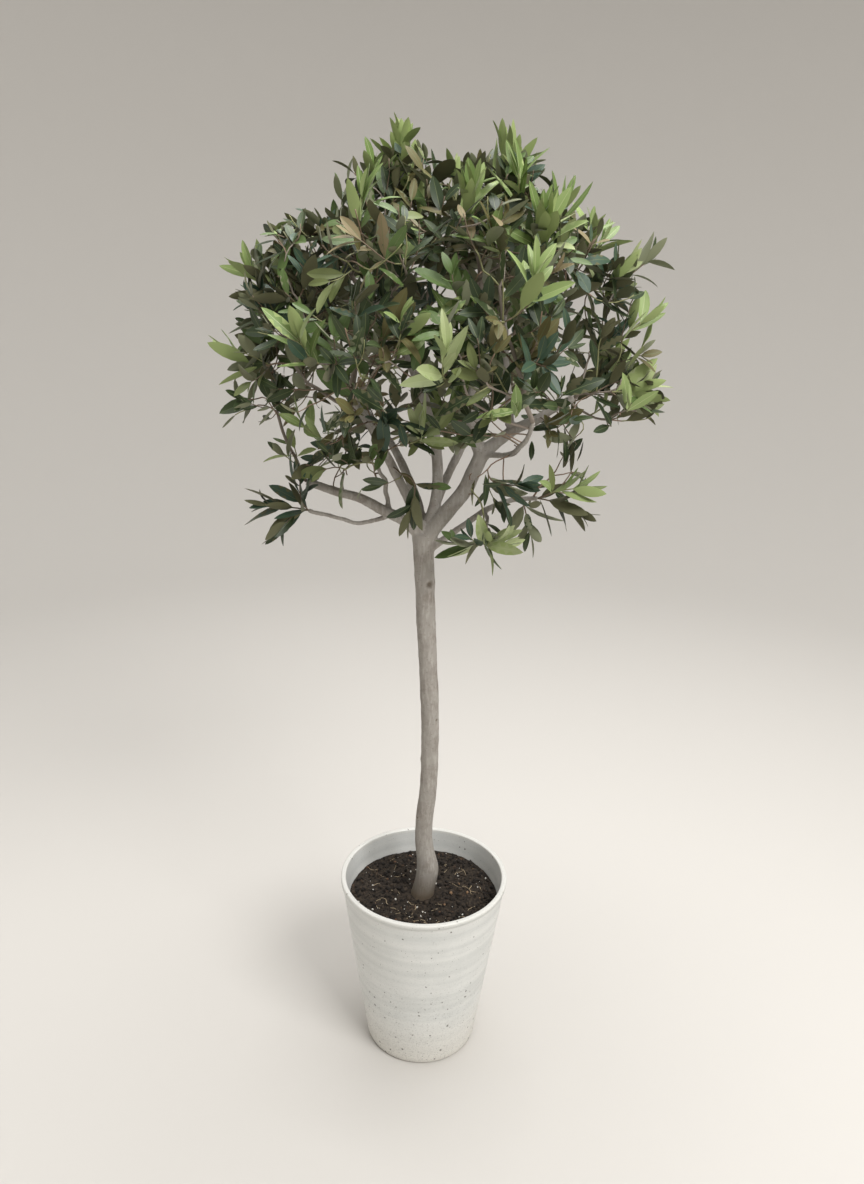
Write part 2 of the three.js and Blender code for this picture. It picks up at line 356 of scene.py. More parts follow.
class Surface:
    """A material with one Principled shader, and short names for the nodes its look is built from."""

    def __init__(self, name: str, sockets: dict) -> None:
        """Makes the material.

        Args:
            name: what the finish is.
            sockets: the shader's socket names and their values.
        """
        self.material = bpy.data.materials.new(name)
        self.material.use_nodes = True
        self.tree = self.material.node_tree
        self.shader = self.tree.nodes["Principled BSDF"]
        for key, value in sockets.items():
            self.shader.inputs[key].default_value = value
        self.material.diffuse_color = self.shader.inputs["Base Color"].default_value[:]

    def place(self) -> Socket:
        """Where a point is on the object, in metres."""
        return add_node(self.tree, "ShaderNodeTexCoord").outputs["Object"]

    def height(self, place: Socket) -> Socket:
        """How high a place is."""
        return add_node(self.tree, "ShaderNodeSeparateXYZ", {"Vector": place}).outputs["Z"]

    def stretched(self, place: Socket, scale: Triple) -> Socket:
        """A place with each axis scaled; a pattern drawn there is longer where the scale is under 1."""
        return add_node(self.tree, "ShaderNodeMapping", {"Vector": place, "Scale": scale}).outputs[0]

    def noise(self, place: Socket, size: float, detail: float, roughness: float) -> Socket:
        """Soft noise from 0 to 1.

        Args:
            place: where it is looked up.
            size: about how wide its largest lumps are.
            detail: number of finer layers.
            roughness: how strong each finer layer is.

        Returns:
            The noise.
        """
        inputs = {"Vector": place, "Scale": 1 / size, "Detail": detail, "Roughness": roughness}
        return add_node(self.tree, "ShaderNodeTexNoise", inputs).outputs["Fac"]

    def cells(self, place: Socket, spacing: float) -> bpy.types.Node:
        """Cells about random centres: outputs Distance to the centre, and a Color drawn for the cell."""
        inputs = {"Vector": place, "Scale": 1 / spacing, "Randomness": 1.0}
        return add_node(self.tree, "ShaderNodeTexVoronoi", inputs)

    def ramp(self, value: Socket, start: float, end: float, top: float = 1.0, bottom: float = 0.0) -> Socket:
        """A number that goes evenly from bottom to top as the value goes from start to end.

        Args:
            value: the value.
            start: the value at which the number leaves bottom.
            end: the value at which it reaches top.
            top: the number from end on.
            bottom: the number up to start.

        Returns:
            The number.
        """
        inputs = {"Value": value, "From Min": start, "From Max": end, "To Min": bottom, "To Max": top}
        return add_node(self.tree, "ShaderNodeMapRange", inputs).outputs[0]

    def maths(self, operation: str, *values: Socket | float) -> Socket:
        """One step of arithmetic, such as "ADD"."""
        return add_node(self.tree, "ShaderNodeMath", dict(enumerate(values)), operation=operation).outputs[0]

    def mix(self, share: Socket, under: Socket | str, over: Socket | str) -> Socket:
        """Lays one colour over another.

        Args:
            share: how much of the upper colour shows, 0 to 1.
            under: the lower colour, from another node or as sRGB hex.
            over: the upper colour, likewise.

        Returns:
            The mixed colour.
        """
        lower, upper = (linear(c) if isinstance(c, str) else c for c in (under, over))
        inputs = {"Factor": share, MIX_A: lower, MIX_B: upper}
        return add_node(self.tree, "ShaderNodeMix", inputs, data_type="RGBA").outputs[MIX_RESULT]

    def finished(
        self, colour: Socket, height: Socket, strength: float, depth: float, sunk: bool = False
    ) -> bpy.types.Material:
        """Links a colour and a bump to the shader.

        Args:
            colour: the surface's colour.
            height: how far the surface stands out, 0 to 1.
            strength: how strongly the bump shows.
            depth: how far it stands out where height is 1.
            sunk: whether it goes in instead of out.

        Returns:
            The material.
        """
        inputs = {"Height": height, "Strength": strength, "Distance": depth}
        bump = add_node(self.tree, "ShaderNodeBump", inputs, invert=sunk)
        self.tree.links.new(colour, self.shader.inputs["Base Color"])
        self.tree.links.new(bump.outputs[0], self.shader.inputs["Normal"])
        return self.material


@dataclass(frozen=True)
class StonewareGlaze:
    """Satin ash glaze on thrown stoneware.

    The wheel leaves faint level bands, the glaze runs thin and warm at the lip and foot, iron in the
    clay burns through as small dark pits, thickest near the foot, and ash greys the finest pores.
    """

    body: str = "#e1e2df"
    shade: str = "#d0d2cf"
    warm: str = "#dedbd3"
    pit: str = "#443e37"
    roughness: float = 0.42
    band_pitch: float = 16 * MM
    band_stretch: Triple = (0.015, 0.015, 1.0)
    cloud_size: float = 45 * MM
    cloud_share: float = 0.45
    tone_range: Span = (0.58, 0.9)
    warm_foot: float = 0.34
    foot_warmth: float = 0.85
    lip_warmth: float = 0.4
    pit_spacing: float = 7.5 * MM
    speck_spacing: float = 2.7 * MM
    ragged_size: float = 1.6 * MM
    ragged_shift: float = 2.8 * MM
    pit_depth: float = 0.6 * MM
    grain_size: float = 2.2 * MM

    def make(self, height: float) -> bpy.types.Material:
        """Builds the material.

        Args:
            height: the planter's height, over which the glaze warms towards lip and foot.

        Returns:
            The finished material.
        """
        surface = Surface("satin_ash_glaze", plain_sockets(self.body, self.roughness, 1.5))
        place = surface.place()
        up = surface.height(place)
        bands = surface.noise(surface.stretched(place, self.band_stretch), self.band_pitch, 2.0, 0.55)
        clouds = surface.noise(place, self.cloud_size, 4.0, 0.6)
        tone = surface.maths("MULTIPLY_ADD", clouds, self.cloud_share, bands)
        glaze = surface.mix(surface.ramp(tone, *self.tone_range), self.shade, self.body)
        # The clay warms the glaze over the lowest third and the top few millimetres.
        low = surface.ramp(up, height * self.warm_foot, 0.0, top=self.foot_warmth)
        high = surface.ramp(up, height - 5 * MM, height - 2 * MM, top=self.lip_warmth)
        warmed = surface.mix(surface.maths("MAXIMUM", low, high), glaze, self.warm)
        dark, relief = self._pits(surface, place, up, height)
        coloured = surface.mix(dark, warmed, self.pit)
        return surface.finished(coloured, relief, 0.5, self.pit_depth, sunk=True)

    def _pits(self, surface: Surface, place: Socket, up: Socket, height: float) -> tuple[Socket, Socket]:
        """Iron pits and finer specks, uneven spots at random cell centres, and a grey grain.

        A spot shows where the distance to its cell's centre is under a radius drawn for that cell. The
        radius is zero in most cells and grows towards the foot.

        Args:
            surface: the glaze so far.
            place: where a point is.
            up: how high it is.
            height: the planter's height.

        Returns:
            How dark spots and grain are together, and how deep the spots are.
        """
        foot = surface.ramp(up, 0.0, height, top=0.0, bottom=0.2)
        # A finer noise moves the places a little, so that no spot is round.
        lookup = {"Vector": place, "Scale": 1 / self.ragged_size, "Detail": 2.0}
        uneven = add_node(surface.tree, "ShaderNodeTexNoise", lookup)
        shift = {0: uneven.outputs["Color"], 1: (self.ragged_shift,) * 3, 2: place}
        ragged = add_node(surface.tree, "ShaderNodeVectorMath", shift, operation="MULTIPLY_ADD").outputs[0]
        spots = []
        for spacing, bare, reach in ((self.pit_spacing, 0.6, 0.9), (self.speck_spacing, 0.55, 0.85)):
            cells = surface.cells(ragged, spacing)
            drawn = add_node(surface.tree, "ShaderNodeSeparateColor", {"Color": cells.outputs["Color"]})
            lifted = surface.maths("ADD", drawn.outputs["Red"], foot)
            radius = surface.ramp(lifted, bare, 1.15, top=0.3 * reach)
            inside = surface.maths("SUBTRACT", radius, cells.outputs["Distance"])
            spots.append(surface.ramp(inside, 0.0, 0.05, top=0.85 * reach))
        both = surface.maths("MAXIMUM", *spots)
        # Ash settles in the finest pores as a faint grey grain, most of it low down.
        pores = surface.ramp(surface.noise(place, self.grain_size, 3.0, 0.7), 0.5, 0.75)
        settled = surface.ramp(up, 0.0, 0.7 * height, top=0.1, bottom=0.4)
        grey = surface.maths("MULTIPLY", pores, settled)
        return surface.maths("MAXIMUM", both, grey), both


@dataclass(frozen=True)
class PottingCompost:
    """Moist peat and bark compost: almost black, with browner fibre and a few rusty bits."""

    peat: str = "#231d18"
    fibre: str = "#4a4034"
    rust: str = "#584030"
    roughness: float = 0.93
    crumb_size: float = 3.5 * MM
    crumb_height: float = 1.2 * MM
    patch_size: float = 14 * MM

    def make(self) -> bpy.types.Material:
        """Builds the material: two noises pick the colour, and the finer one roughens the surface.

        Returns:
            The finished material.
        """
        surface = Surface("moist_potting_compost", plain_sockets(self.peat, self.roughness, 1.4))
        place = surface.place()
        fine = surface.noise(place, self.crumb_size, 5.0, 0.7)
        patches = surface.noise(place, self.patch_size, 3.0, 0.6)
        browned = surface.mix(surface.ramp(fine, 0.45, 0.75), self.peat, self.fibre)
        rusty = surface.mix(surface.ramp(patches, 0.62, 0.74, top=0.6), browned, self.rust)
        return surface.finished(rusty, fine, 0.8, self.crumb_height)


@dataclass(frozen=True)
class YoungOliveBark:
    """Smooth grey bark of a young olive stem.

    It is matt, a little paler where it weathers, with soft brown clouds, upright streaks, small level
    lenticels and scars whose dark middles are darker wood and painted shade in their hollows, and it
    browns where it stands in the wet compost.
    """

    grey: str = "#9b968f"
    pale: str = "#bbb6af"
    brown: str = "#776e65"
    wet_brown_and_scar_shade: str = "#5f5446"
    roughness: float = 0.82
    cloud_size: float = 22 * MM
    streak_width: float = 3.2 * MM
    streak_stretch: Triple = (1.0, 1.0, 0.22)
    lenticel_spacing: float = 7 * MM
    lenticel_stretch: Triple = (1.0, 1.0, 2.4)
    relief: float = 0.7 * MM
    damp_top: float = 40 * MM
    damp_full: float = 4 * MM

    def make(self, ground: float) -> bpy.types.Material:
        """Builds the material.

        Args:
            ground: height of the compost, above which the bark is wet for a few centimetres.

        Returns:
            The finished material.
        """
        surface = Surface("young_olive_bark", plain_sockets(self.grey, self.roughness, 1.45))
        place = surface.place()
        clouds = surface.noise(place, self.cloud_size, 5.0, 0.62)
        streaks = surface.noise(surface.stretched(place, self.streak_stretch), self.streak_width, 4.0, 0.6)
        colour = surface.mix(surface.ramp(clouds, 0.47, 0.66, top=0.6), self.grey, self.brown)
        colour = surface.mix(surface.ramp(streaks, 0.48, 0.7, top=0.5), colour, self.pale)
        # Lenticels are wider than tall, so their cells are squeezed upright.
        cells = surface.cells(surface.stretched(place, self.lenticel_stretch), self.lenticel_spacing)
        lenticels = surface.ramp(cells.outputs["Distance"], 0.2, 0.1, top=0.55)
        colour = surface.mix(lenticels, colour, self.brown)
        # The scars of pruned shoots are dark in the middle: partly their own darker wood, partly painted
        # shade in the hollow that the relief sinks there, in the wet brown.
        for x, y, z, size in KNOTS:
            ends = {0: place, 1: (x * MM, y * MM, z * MM)}
            away = add_node(surface.tree, "ShaderNodeVectorMath", ends, operation="DISTANCE")
            scar = surface.ramp(away.outputs["Value"], 0.65 * size * MM, 0.2 * size * MM, top=0.85)
            colour = surface.mix(scar, colour, self.wet_brown_and_scar_shade)
        wet = surface.ramp(surface.height(place), ground + self.damp_top, ground + self.damp_full)
        colour = surface.mix(wet, colour, self.wet_brown_and_scar_shade)
        return surface.finished(colour, surface.maths("ADD", streaks, lenticels), 0.55, self.relief)


@dataclass(frozen=True)
class PlainFinish:
    """A finish of one even colour, for small things made in thousands: leaves, twigs, crumbs."""

    name: str
    colour: str
    roughness: float
    specular: float = 0.5
    sheen: float = 0.0

    def make(self) -> bpy.types.Material:
        """Builds the material, with its values on the shader's own sockets.

        Returns:
            The finished material.
        """
        sockets = plain_sockets(self.colour, self.roughness, 1.45)
        sockets |= {"Specular IOR Level": self.specular, "Sheen Weight": self.sheen}
        return Surface(self.name, sockets).material


class Tone(Enum):
    """How aged and how lit the leaves of one spray are: where the tones are placed also paints shade inside
    the crown and light on its right. The value picks the finish of the upper side.
    """

    DARK = 0
    DEEP = 1
    BLUE = 2
    MID = 3
    SOFT = 4
    OLIVE = 5
    FRESH = 6
    YOUNG = 7
    PALE = 8
    DRY = 9


# Upper side of the leaves: a leathery cuticle, glossier and darker with age.
UPPER_SIDES = {
    Tone.DARK: PlainFinish("leaf_dark", "#323f28", 0.42, specular=0.4),
    Tone.DEEP: PlainFinish("leaf_deep", "#3f4c2f", 0.42, specular=0.4),
    Tone.BLUE: PlainFinish("leaf_blue_green", "#3c5140", 0.44, specular=0.45),
    Tone.MID: PlainFinish("leaf_mid_green", "#536838", 0.44, specular=0.4),
    Tone.SOFT: PlainFinish("leaf_soft_green", "#697246", 0.48, specular=0.35),
    Tone.OLIVE: PlainFinish("leaf_olive", "#605b39", 0.5, specular=0.35),
    Tone.FRESH: PlainFinish("leaf_fresh", "#6e8349", 0.42, specular=0.4),
    Tone.YOUNG: PlainFinish("leaf_young", "#879960", 0.42, specular=0.4),
    Tone.PALE: PlainFinish("leaf_palest", "#9da879", 0.44, specular=0.4),
    Tone.DRY: PlainFinish("leaf_dry", "#83775a", 0.6, specular=0.3),
}
# Lower side: silvery hairs that scatter light, so matt, with a little sheen.
LOWER_SIDES = [
    PlainFinish("leaf_under_olive", "#5d5d42", 0.75, specular=0.3, sheen=0.12),
    PlainFinish("leaf_under_silver", "#7d8165", 0.75, specular=0.3, sheen=0.15),
    PlainFinish("leaf_under_fresh", "#93a269", 0.7, specular=0.3, sheen=0.12),
]
# The midrib, paler than the blade.
MIDRIBS = [
    PlainFinish("leaf_midrib", "#626c45", 0.5),
    PlainFinish("leaf_midrib_fresh", "#a9b384", 0.5),
]
FRESH_TONES = (Tone.FRESH, Tone.YOUNG, Tone.PALE)


# ---------------------------------------------------------------------------------------------- planter


@dataclass
class Planter:
    """The thrown stoneware planter, read off its CAD node and given its wheel marks."""

    wall: float = 6 * MM
    floor: float = 9 * MM
    foot_radius: float = 75 * MM
    foot_round: float = 5 * MM
    lip_height: float = 6 * MM
    lip_proud: float = 0.8 * MM
    lip_round: float = 2 * MM
    sides: int = 160
    wall_steps: int = 110
    band_height: float = 0.12 * MM
    band_lattice: Triple = (1, 1, 75)
    wobble: float = 0.2 * MM
    wobble_lattice: Triple = (11, 11, 8)
    plain_foot: float = 12 * MM
    glaze: StonewareGlaze = field(default_factory=StonewareGlaze)

    def __post_init__(self) -> None:
        """Takes the height and the rim's radius from the CAD node."""
        low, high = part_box("pot")
        self.height = high.z
        self.rim_radius = (high.x - low.x) / 2

    def wall_radius(self, z: Array | float) -> Array | float:
        """Outer radius of the straight wall at a height."""
        return self.foot_radius + (self.rim_radius - self.lip_proud - self.foot_radius) * z / self.height

    def _profile(self) -> Array:
        """The outline from the middle of the underside, out, up, over the lip, and in to the floor.

        Returns:
            Rows of radius and height.
        """
        turn = np.linspace(0, math.pi / 2, 8)
        under = np.linspace([0.0, 0.0], [self.foot_radius - self.foot_round, 0.0], 14)[:-1]
        foot = np.stack(
            [
                self.foot_radius - self.foot_round + self.foot_round * np.sin(turn),
                self.foot_round - self.foot_round * np.cos(turn),
            ],
            1,
        )
        wall_top = self.height - self.lip_height - self.lip_proud
        z = np.linspace(self.foot_round * 1.4, wall_top, self.wall_steps)
        wall = np.stack([self.wall_radius(z), z], 1)
        lip_low = np.array([[self.rim_radius, self.height - self.lip_height]])
        top = self.height - self.lip_round
        lip_out = np.stack(
            [self.rim_radius - self.lip_round * (1 - np.cos(turn)), top + self.lip_round * np.sin(turn)], 1
        )
        inner = self.wall_radius(self.height) - self.wall
        lip_in = np.stack(
            [inner + self.lip_round * (1 - np.sin(turn)), top + self.lip_round * np.cos(turn)], 1
        )
        down = np.linspace(self.height - self.lip_height, self.floor, self.wall_steps // 2)
        inside = np.stack([self.wall_radius(down) - self.wall, down], 1)
        base = np.linspace([self.wall_radius(self.floor) - self.wall, self.floor], [0.0, self.floor], 12)[1:]
        return np.concatenate([under, foot, wall, lip_low, lip_out, lip_in, inside, base])

    def build(self) -> bpy.types.Object:
        """Makes the planter.

        The outline is turned about the axis. Wheel bands push the outer wall in and out by a noise that
        changes quickly with height and slowly round the pot, and a slower wobble keeps it hand made.

        Returns:
            The finished piece.
        """
        points, faces = turned_body(self._profile(), self.sides)
        radius = np.hypot(points[:, 0], points[:, 1])
        outside = radius > self.wall_radius(points[:, 2]) - self.wall / 2
        clear = smooth_step(0, self.plain_foot, points[:, 2]) * outside
        bands = layered_noise(points * np.array(self.band_lattice), seed=3, layers=2) * self.band_height
        slow = value_noise(points * np.array(self.wobble_lattice), seed=8) * self.wobble
        push = 1 + clear * (bands + slow - self.wobble * 0.7) / np.maximum(radius, MM)
        points[:, :2] *= push[:, None]
        piece = mesh_piece("stoneware_planter", points, faces, [self.glaze.make(self.height)])
        return dress(piece, ["pot"])


# --------------------------------------------------------------------------------------------- compost

# Corners and faces of an icosahedron, the start of every crumb.
GOLDEN = (1 + 5**0.5) / 2
# How far from a plane a corner may be and still count as on it.
FLAT = 1e-6
CRUMB_CORNERS = unit(
    np.array(
        [p for s in (-1, 1) for t in (-GOLDEN, GOLDEN) for p in ((0, s, t), (s, t, 0), (t, 0, s))], float
    )
)


def hull_faces(corners: Array) -> Array:
    """Outward triangles of a small convex body: the trios of corners with all others on one side.

    Args:
        corners: the body's corners, all at one distance from its middle.

    Returns:
        Rows of three corner numbers.
    """
    kept = []
    for trio in itertools.combinations(range(len(corners)), 3):
        a, b, c = corners[list(trio)]
        normal = np.cross(b - a, c - a)
        side = (corners - a) @ normal
        if (side < FLAT).all():
            kept.append(trio)
        elif (side > -FLAT).all():
            kept.append((trio[0], trio[2], trio[1]))
    return np.array(kept)


CRUMB_FACES = hull_faces(CRUMB_CORNERS)


@dataclass
class Compost:
    """The compost in the planter: a rough top, crumbs, perlite, and loose roots."""

    rings: int = 90
    sides: int = 220
    depth: float = 45 * MM
    roughness: float = 1.6 * MM
    crumbly_size: float = 7 * MM
    swell: float = 1.6 * MM
    swell_size: float = 30 * MM
    mound: float = 3 * MM
    sunk: float = 2.2 * MM
    crumbs: int = 1500
    perlite: int = 75
    roots: int = 46
    bits: int = 14
    seed: int = 41
    earth: PottingCompost = field(default_factory=PottingCompost)

    def __post_init__(self) -> None:
        """Takes the level and the radius from the CAD node."""
        low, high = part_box("soil")
        self.level = high.z
        self.radius = (high.x - low.x) / 2

    def height_at(self, x: Array, y: Array) -> Array:
        """Height of the compost: a low uneven mound with a crumbly noise, lower at the wall.

        Args:
            x: distances to the right of the planter's axis.
            y: distances behind it.

        Returns:
            The height at each place.
        """
        spread = np.hypot(x, y) / self.radius
        places = np.stack([x, y, np.zeros_like(x)], -1).reshape(-1, 3)
        swell = value_noise(places / self.swell_size, self.seed) * self.swell
        crumbly = layered_noise(places / self.crumbly_size, self.seed + 5, layers=4) * self.roughness
        mound = self.mound * (1 - spread.reshape(-1) ** 2) - self.sunk
        return self.level + (mound + swell + crumbly).reshape(x.shape)

    def _ground(self) -> bpy.types.Object:
        """The body of compost: a disc grid lifted to height_at, a side wall and a flat underside.

        Returns:
            The finished piece.
        """
        reach = np.linspace(0, 1, self.rings)[1:] ** 0.8 * self.radius
        deep = self.level - self.depth
        foot = (self.radius - 10 * MM, deep)
        wall = np.array([foot, (self.radius - 2.5 * MM, self.level - 12 * MM)])
        top = np.stack([reach[::-1], np.full(len(reach), self.level)], 1)
        profile = np.concatenate([[[0, deep]], wall, top, [[0, self.level]]])
        points, faces = turned_body(profile, self.sides)
        # Two rings of wall come first, then the rings of the top, then the two poles.
        lifted = np.r_[2 * self.sides : len(points) - 2, len(points) - 1]
        points[lifted, 2] = self.height_at(points[lifted, 0], points[lifted, 1])
        piece = mesh_piece("potting_compost", points, faces, [self.earth.make()])
        return dress(piece, ["soil"])

    def _scatter(self, draw: np.random.Generator, count: int, margin: float) -> Array:
        """Random places on the compost, clear of the stem's foot.

        Args:
            draw: source of random numbers.
            count: how many.
            margin: how far they stay from the wall.

        Returns:
            Points, one row each.
        """
        away = np.sqrt(draw.uniform(0.05, 1, count)) * (self.radius - margin)
        angle = draw.uniform(0, 2 * math.pi, count)
        x, y = away * np.cos(angle), away * np.sin(angle)
        return np.stack([x, y, self.height_at(x, y)], 1)

    def _lumps(self, draw: np.random.Generator, count: int, sizes: Span, sink: float) -> Shape:
        """Uneven lumps: an icosahedron's corners, each moved in or out, stretched and turned.

        Args:
            draw: source of random numbers.
            count: how many.
            sizes: smallest and largest radius; small ones are commonest.
            sink: how far of its radius each lump is bedded.

        Returns:
            Corners and triangles of all of them.
        """
        radius = sizes[0] + (sizes[1] - sizes[0]) * draw.random(count) ** 3
        places = self._scatter(draw, count, sizes[1])
        places[:, 2] += radius * (1 - sink) * 0.6
        stretch = draw.uniform(0.55, 1.25, (count, 1, 3))
        uneven = draw.uniform(0.72, 1.2, (count, len(CRUMB_CORNERS), 1))
        turn = unit(draw.normal(size=(count, 3, 3)))
        first = turn[:, 0]
        second = unit(turn[:, 1] - first * np.sum(turn[:, 1] * first, 1, keepdims=True))
        axes = np.stack([first, second, np.cross(first, second)], 1)
        shape = np.einsum("nki,nij->nkj", CRUMB_CORNERS[None] * stretch * uneven, axes)
        points = places[:, None] + shape * radius[:, None, None]
        faces = CRUMB_FACES[None] + (np.arange(count) * len(CRUMB_CORNERS))[:, None, None]
        return points.reshape(-1, 3), faces.reshape(-1, 3)

    def _threads(self, draw: np.random.Generator, count: int) -> Shape:
        """Loose roots: thin tubes on a short bent path that lies on the compost.

        Args:
            draw: source of random numbers.
            count: how many.

        Returns:
            Corners and triangles of all of them.
        """
        bends = 8
        shapes = []
        for place in self._scatter(draw, count, 16 * MM):
            length = draw.uniform(8, 26) * MM
            angle = draw.uniform(0, 2 * math.pi) + np.cumsum(draw.normal(0, 0.35, bends))
            stepped = np.stack([np.cos(angle), np.sin(angle)], 1) * length / bends
            flat = place[:2] + np.cumsum(stepped, axis=0)
            rise = draw.uniform(0.3, 1.6) * MM
            z = self.height_at(flat[:, 0], flat[:, 1]) + rise * np.sin(np.linspace(0.3, 2.9, bends))
            radii = draw.uniform(0.22, 0.5) * MM * np.linspace(1, 0.5, bends)
            shapes.append(tube(np.column_stack([flat, z]), radii, 5))
        return joined(shapes)

    def build(self) -> list[bpy.types.Object]:
        """Makes the compost and what lies on it.

        Returns:
            The finished pieces.
        """
        draw = np.random.default_rng(self.seed)
        crumb_tones = [
            PlainFinish("compost_crumb_dark", "#1f1a16", 0.95).make(),
            PlainFinish("compost_crumb_brown", "#3c332a", 0.95).make(),
            PlainFinish("compost_crumb_rust", "#5c4433", 0.9).make(),
        ]
        crumbs, faces = self._lumps(draw, self.crumbs, (0.9 * MM, 3.6 * MM), 0.5)
        tone = np.repeat(draw.choice(3, self.crumbs, p=[0.68, 0.3, 0.02]), len(CRUMB_FACES))
        pieces = [
            self._ground(),
            dress(mesh_piece("compost_crumbs", crumbs, faces, crumb_tones, tone), ["soil"]),
        ]
        white = PlainFinish("expanded_perlite", "#d8d5cc", 0.85).make()
        pale = PlainFinish("dried_root", "#b3a183", 0.75).make()
        rust = PlainFinish("bark_chip", "#84694f", 0.85).make()
        loose = (
            ("perlite_grains", self._lumps(draw, self.perlite, (0.5 * MM, 2.1 * MM), 0.4), white),
            ("loose_roots", self._threads(draw, self.roots), pale),
            ("bark_chips", self._lumps(draw, self.bits, (0.9 * MM, 3.4 * MM), 0.3), rust),
        )
        for name, (points, faces), finish in loose:
            pieces.append(dress(mesh_piece(name, points, faces, [finish]), ["soil"]))
        return pieces


# --------------------------------------------------------------------------------------- stem and boughs


@dataclass(frozen=True)
class Bough:
    """One limb: it leaves start along one direction and reaches end along another, and tapers evenly."""

    name: str
    start: Triple
    end: Triple
    leave: Triple
    arrive: Triple
    base: float
    tip: float
    kink: float = 2.4

    def line(self, steps: int) -> tuple[Array, Array]:
        """Centreline and radii.

        The line is a cubic Bezier curve whose handles are a third of the span long, along the two
        directions.

        Args:
            steps: number of points.

        Returns:
            Points and radii in metres.
        """
        start, end = np.array(self.start) * MM, np.array(self.end) * MM
        pull = np.linalg.norm(end - start) / 3
        near = start + unit(np.array(self.leave, float)) * pull
        far = end - unit(np.array(self.arrive, float)) * pull
        t = np.linspace(0, 1, steps)[:, None]
        line = start * (1 - t) ** 3 + near * 3 * t * (1 - t) ** 2 + far * 3 * t**2 * (1 - t) + end * t**3
        # Old nodes leave slight kinks, none at the two ends.
        seed = int(abs(sum(self.end)) + 10 * self.base)
        beside = [value_noise(t * np.array([[5.0, 0, 0]]) + 3, seed + axis) for axis in range(3)]
        line = line + np.stack(beside, 1) * np.sin(math.pi * t) * self.kink * MM
        return line, (self.base + (self.tip - self.base) * t[:, 0]) * MM


FORK = (-9, 0, 712)
RIGHT_JUNCTION = (57, -6, 816)
BOUGHS = [
    Bough("bough_right", FORK, (57, -6, 822), (0.6, 0, 0.8), (0.2, 0, 1), 10, 8.6),
    Bough("bough_left", FORK, (-142, -30, 784), (-0.6, -0.1, 0.85), (-1, -0.1, 0.3), 7.6, 4.5),
    Bough("bough_centre", FORK, (-40, 34, 936), (0.45, 0.15, 1), (-0.5, 0.1, 0.9), 7.4, 5.2),
    Bough("bough_centre_left", FORK, (-84, -84, 884), (-0.25, -0.2, 1), (-0.35, -0.5, 0.8), 6.6, 4.2),
    Bough("bough_back_left", FORK, (-104, 124, 866), (-0.05, 0.6, 0.8), (-0.6, 0.5, 0.5), 6.4, 4),
    Bough("bough_back_right", FORK, (78, 128, 864), (0.25, 0.5, 0.8), (0.5, 0.6, 0.5), 6.4, 4),
    Bough("bough_right_outer", RIGHT_JUNCTION, (156, -14, 882), (0.7, 0, 0.75), (0.85, 0, 0.5), 7.6, 4.4),
    Bough("bough_right_inner", RIGHT_JUNCTION, (54, 6, 968), (-0.6, 0.1, 0.8), (0.05, 0, 1), 7.2, 4.6),
    Bough("bough_right_front", RIGHT_JUNCTION, (100, -124, 868), (0.8, -0.6, 0.05), (0, -0.6, 0.8), 3.6, 2.8),
    Bough("bough_right_riser", (86, -8, 848), (78, 12, 968), (0, 0.1, 1), (0, 0.2, 1), 4.6, 3.4),
    Bough("bough_left_riser", (-50, -6, 746), (-62, -34, 806), (0, -0.1, 1), (-0.3, -0.5, 0.9), 3.2, 2.4),
    Bough("bough_left_low", (-50, -6, 742), (-140, -34, 752), (-0.8, -0.1, -0.45), (-1, -0.1, 0.4), 3, 2.4),
    Bough("bough_low_right", (-8, -2, 694), (122, -18, 768), (0.75, -0.1, 0.65), (1, -0.1, 0), 4.4, 3),
    Bough("bough_low_front", (60, -10, 752), (62, -36, 724), (0.6, -0.7, -0.4), (-0.3, -0.3, -0.9), 2.8, 2.2),
]


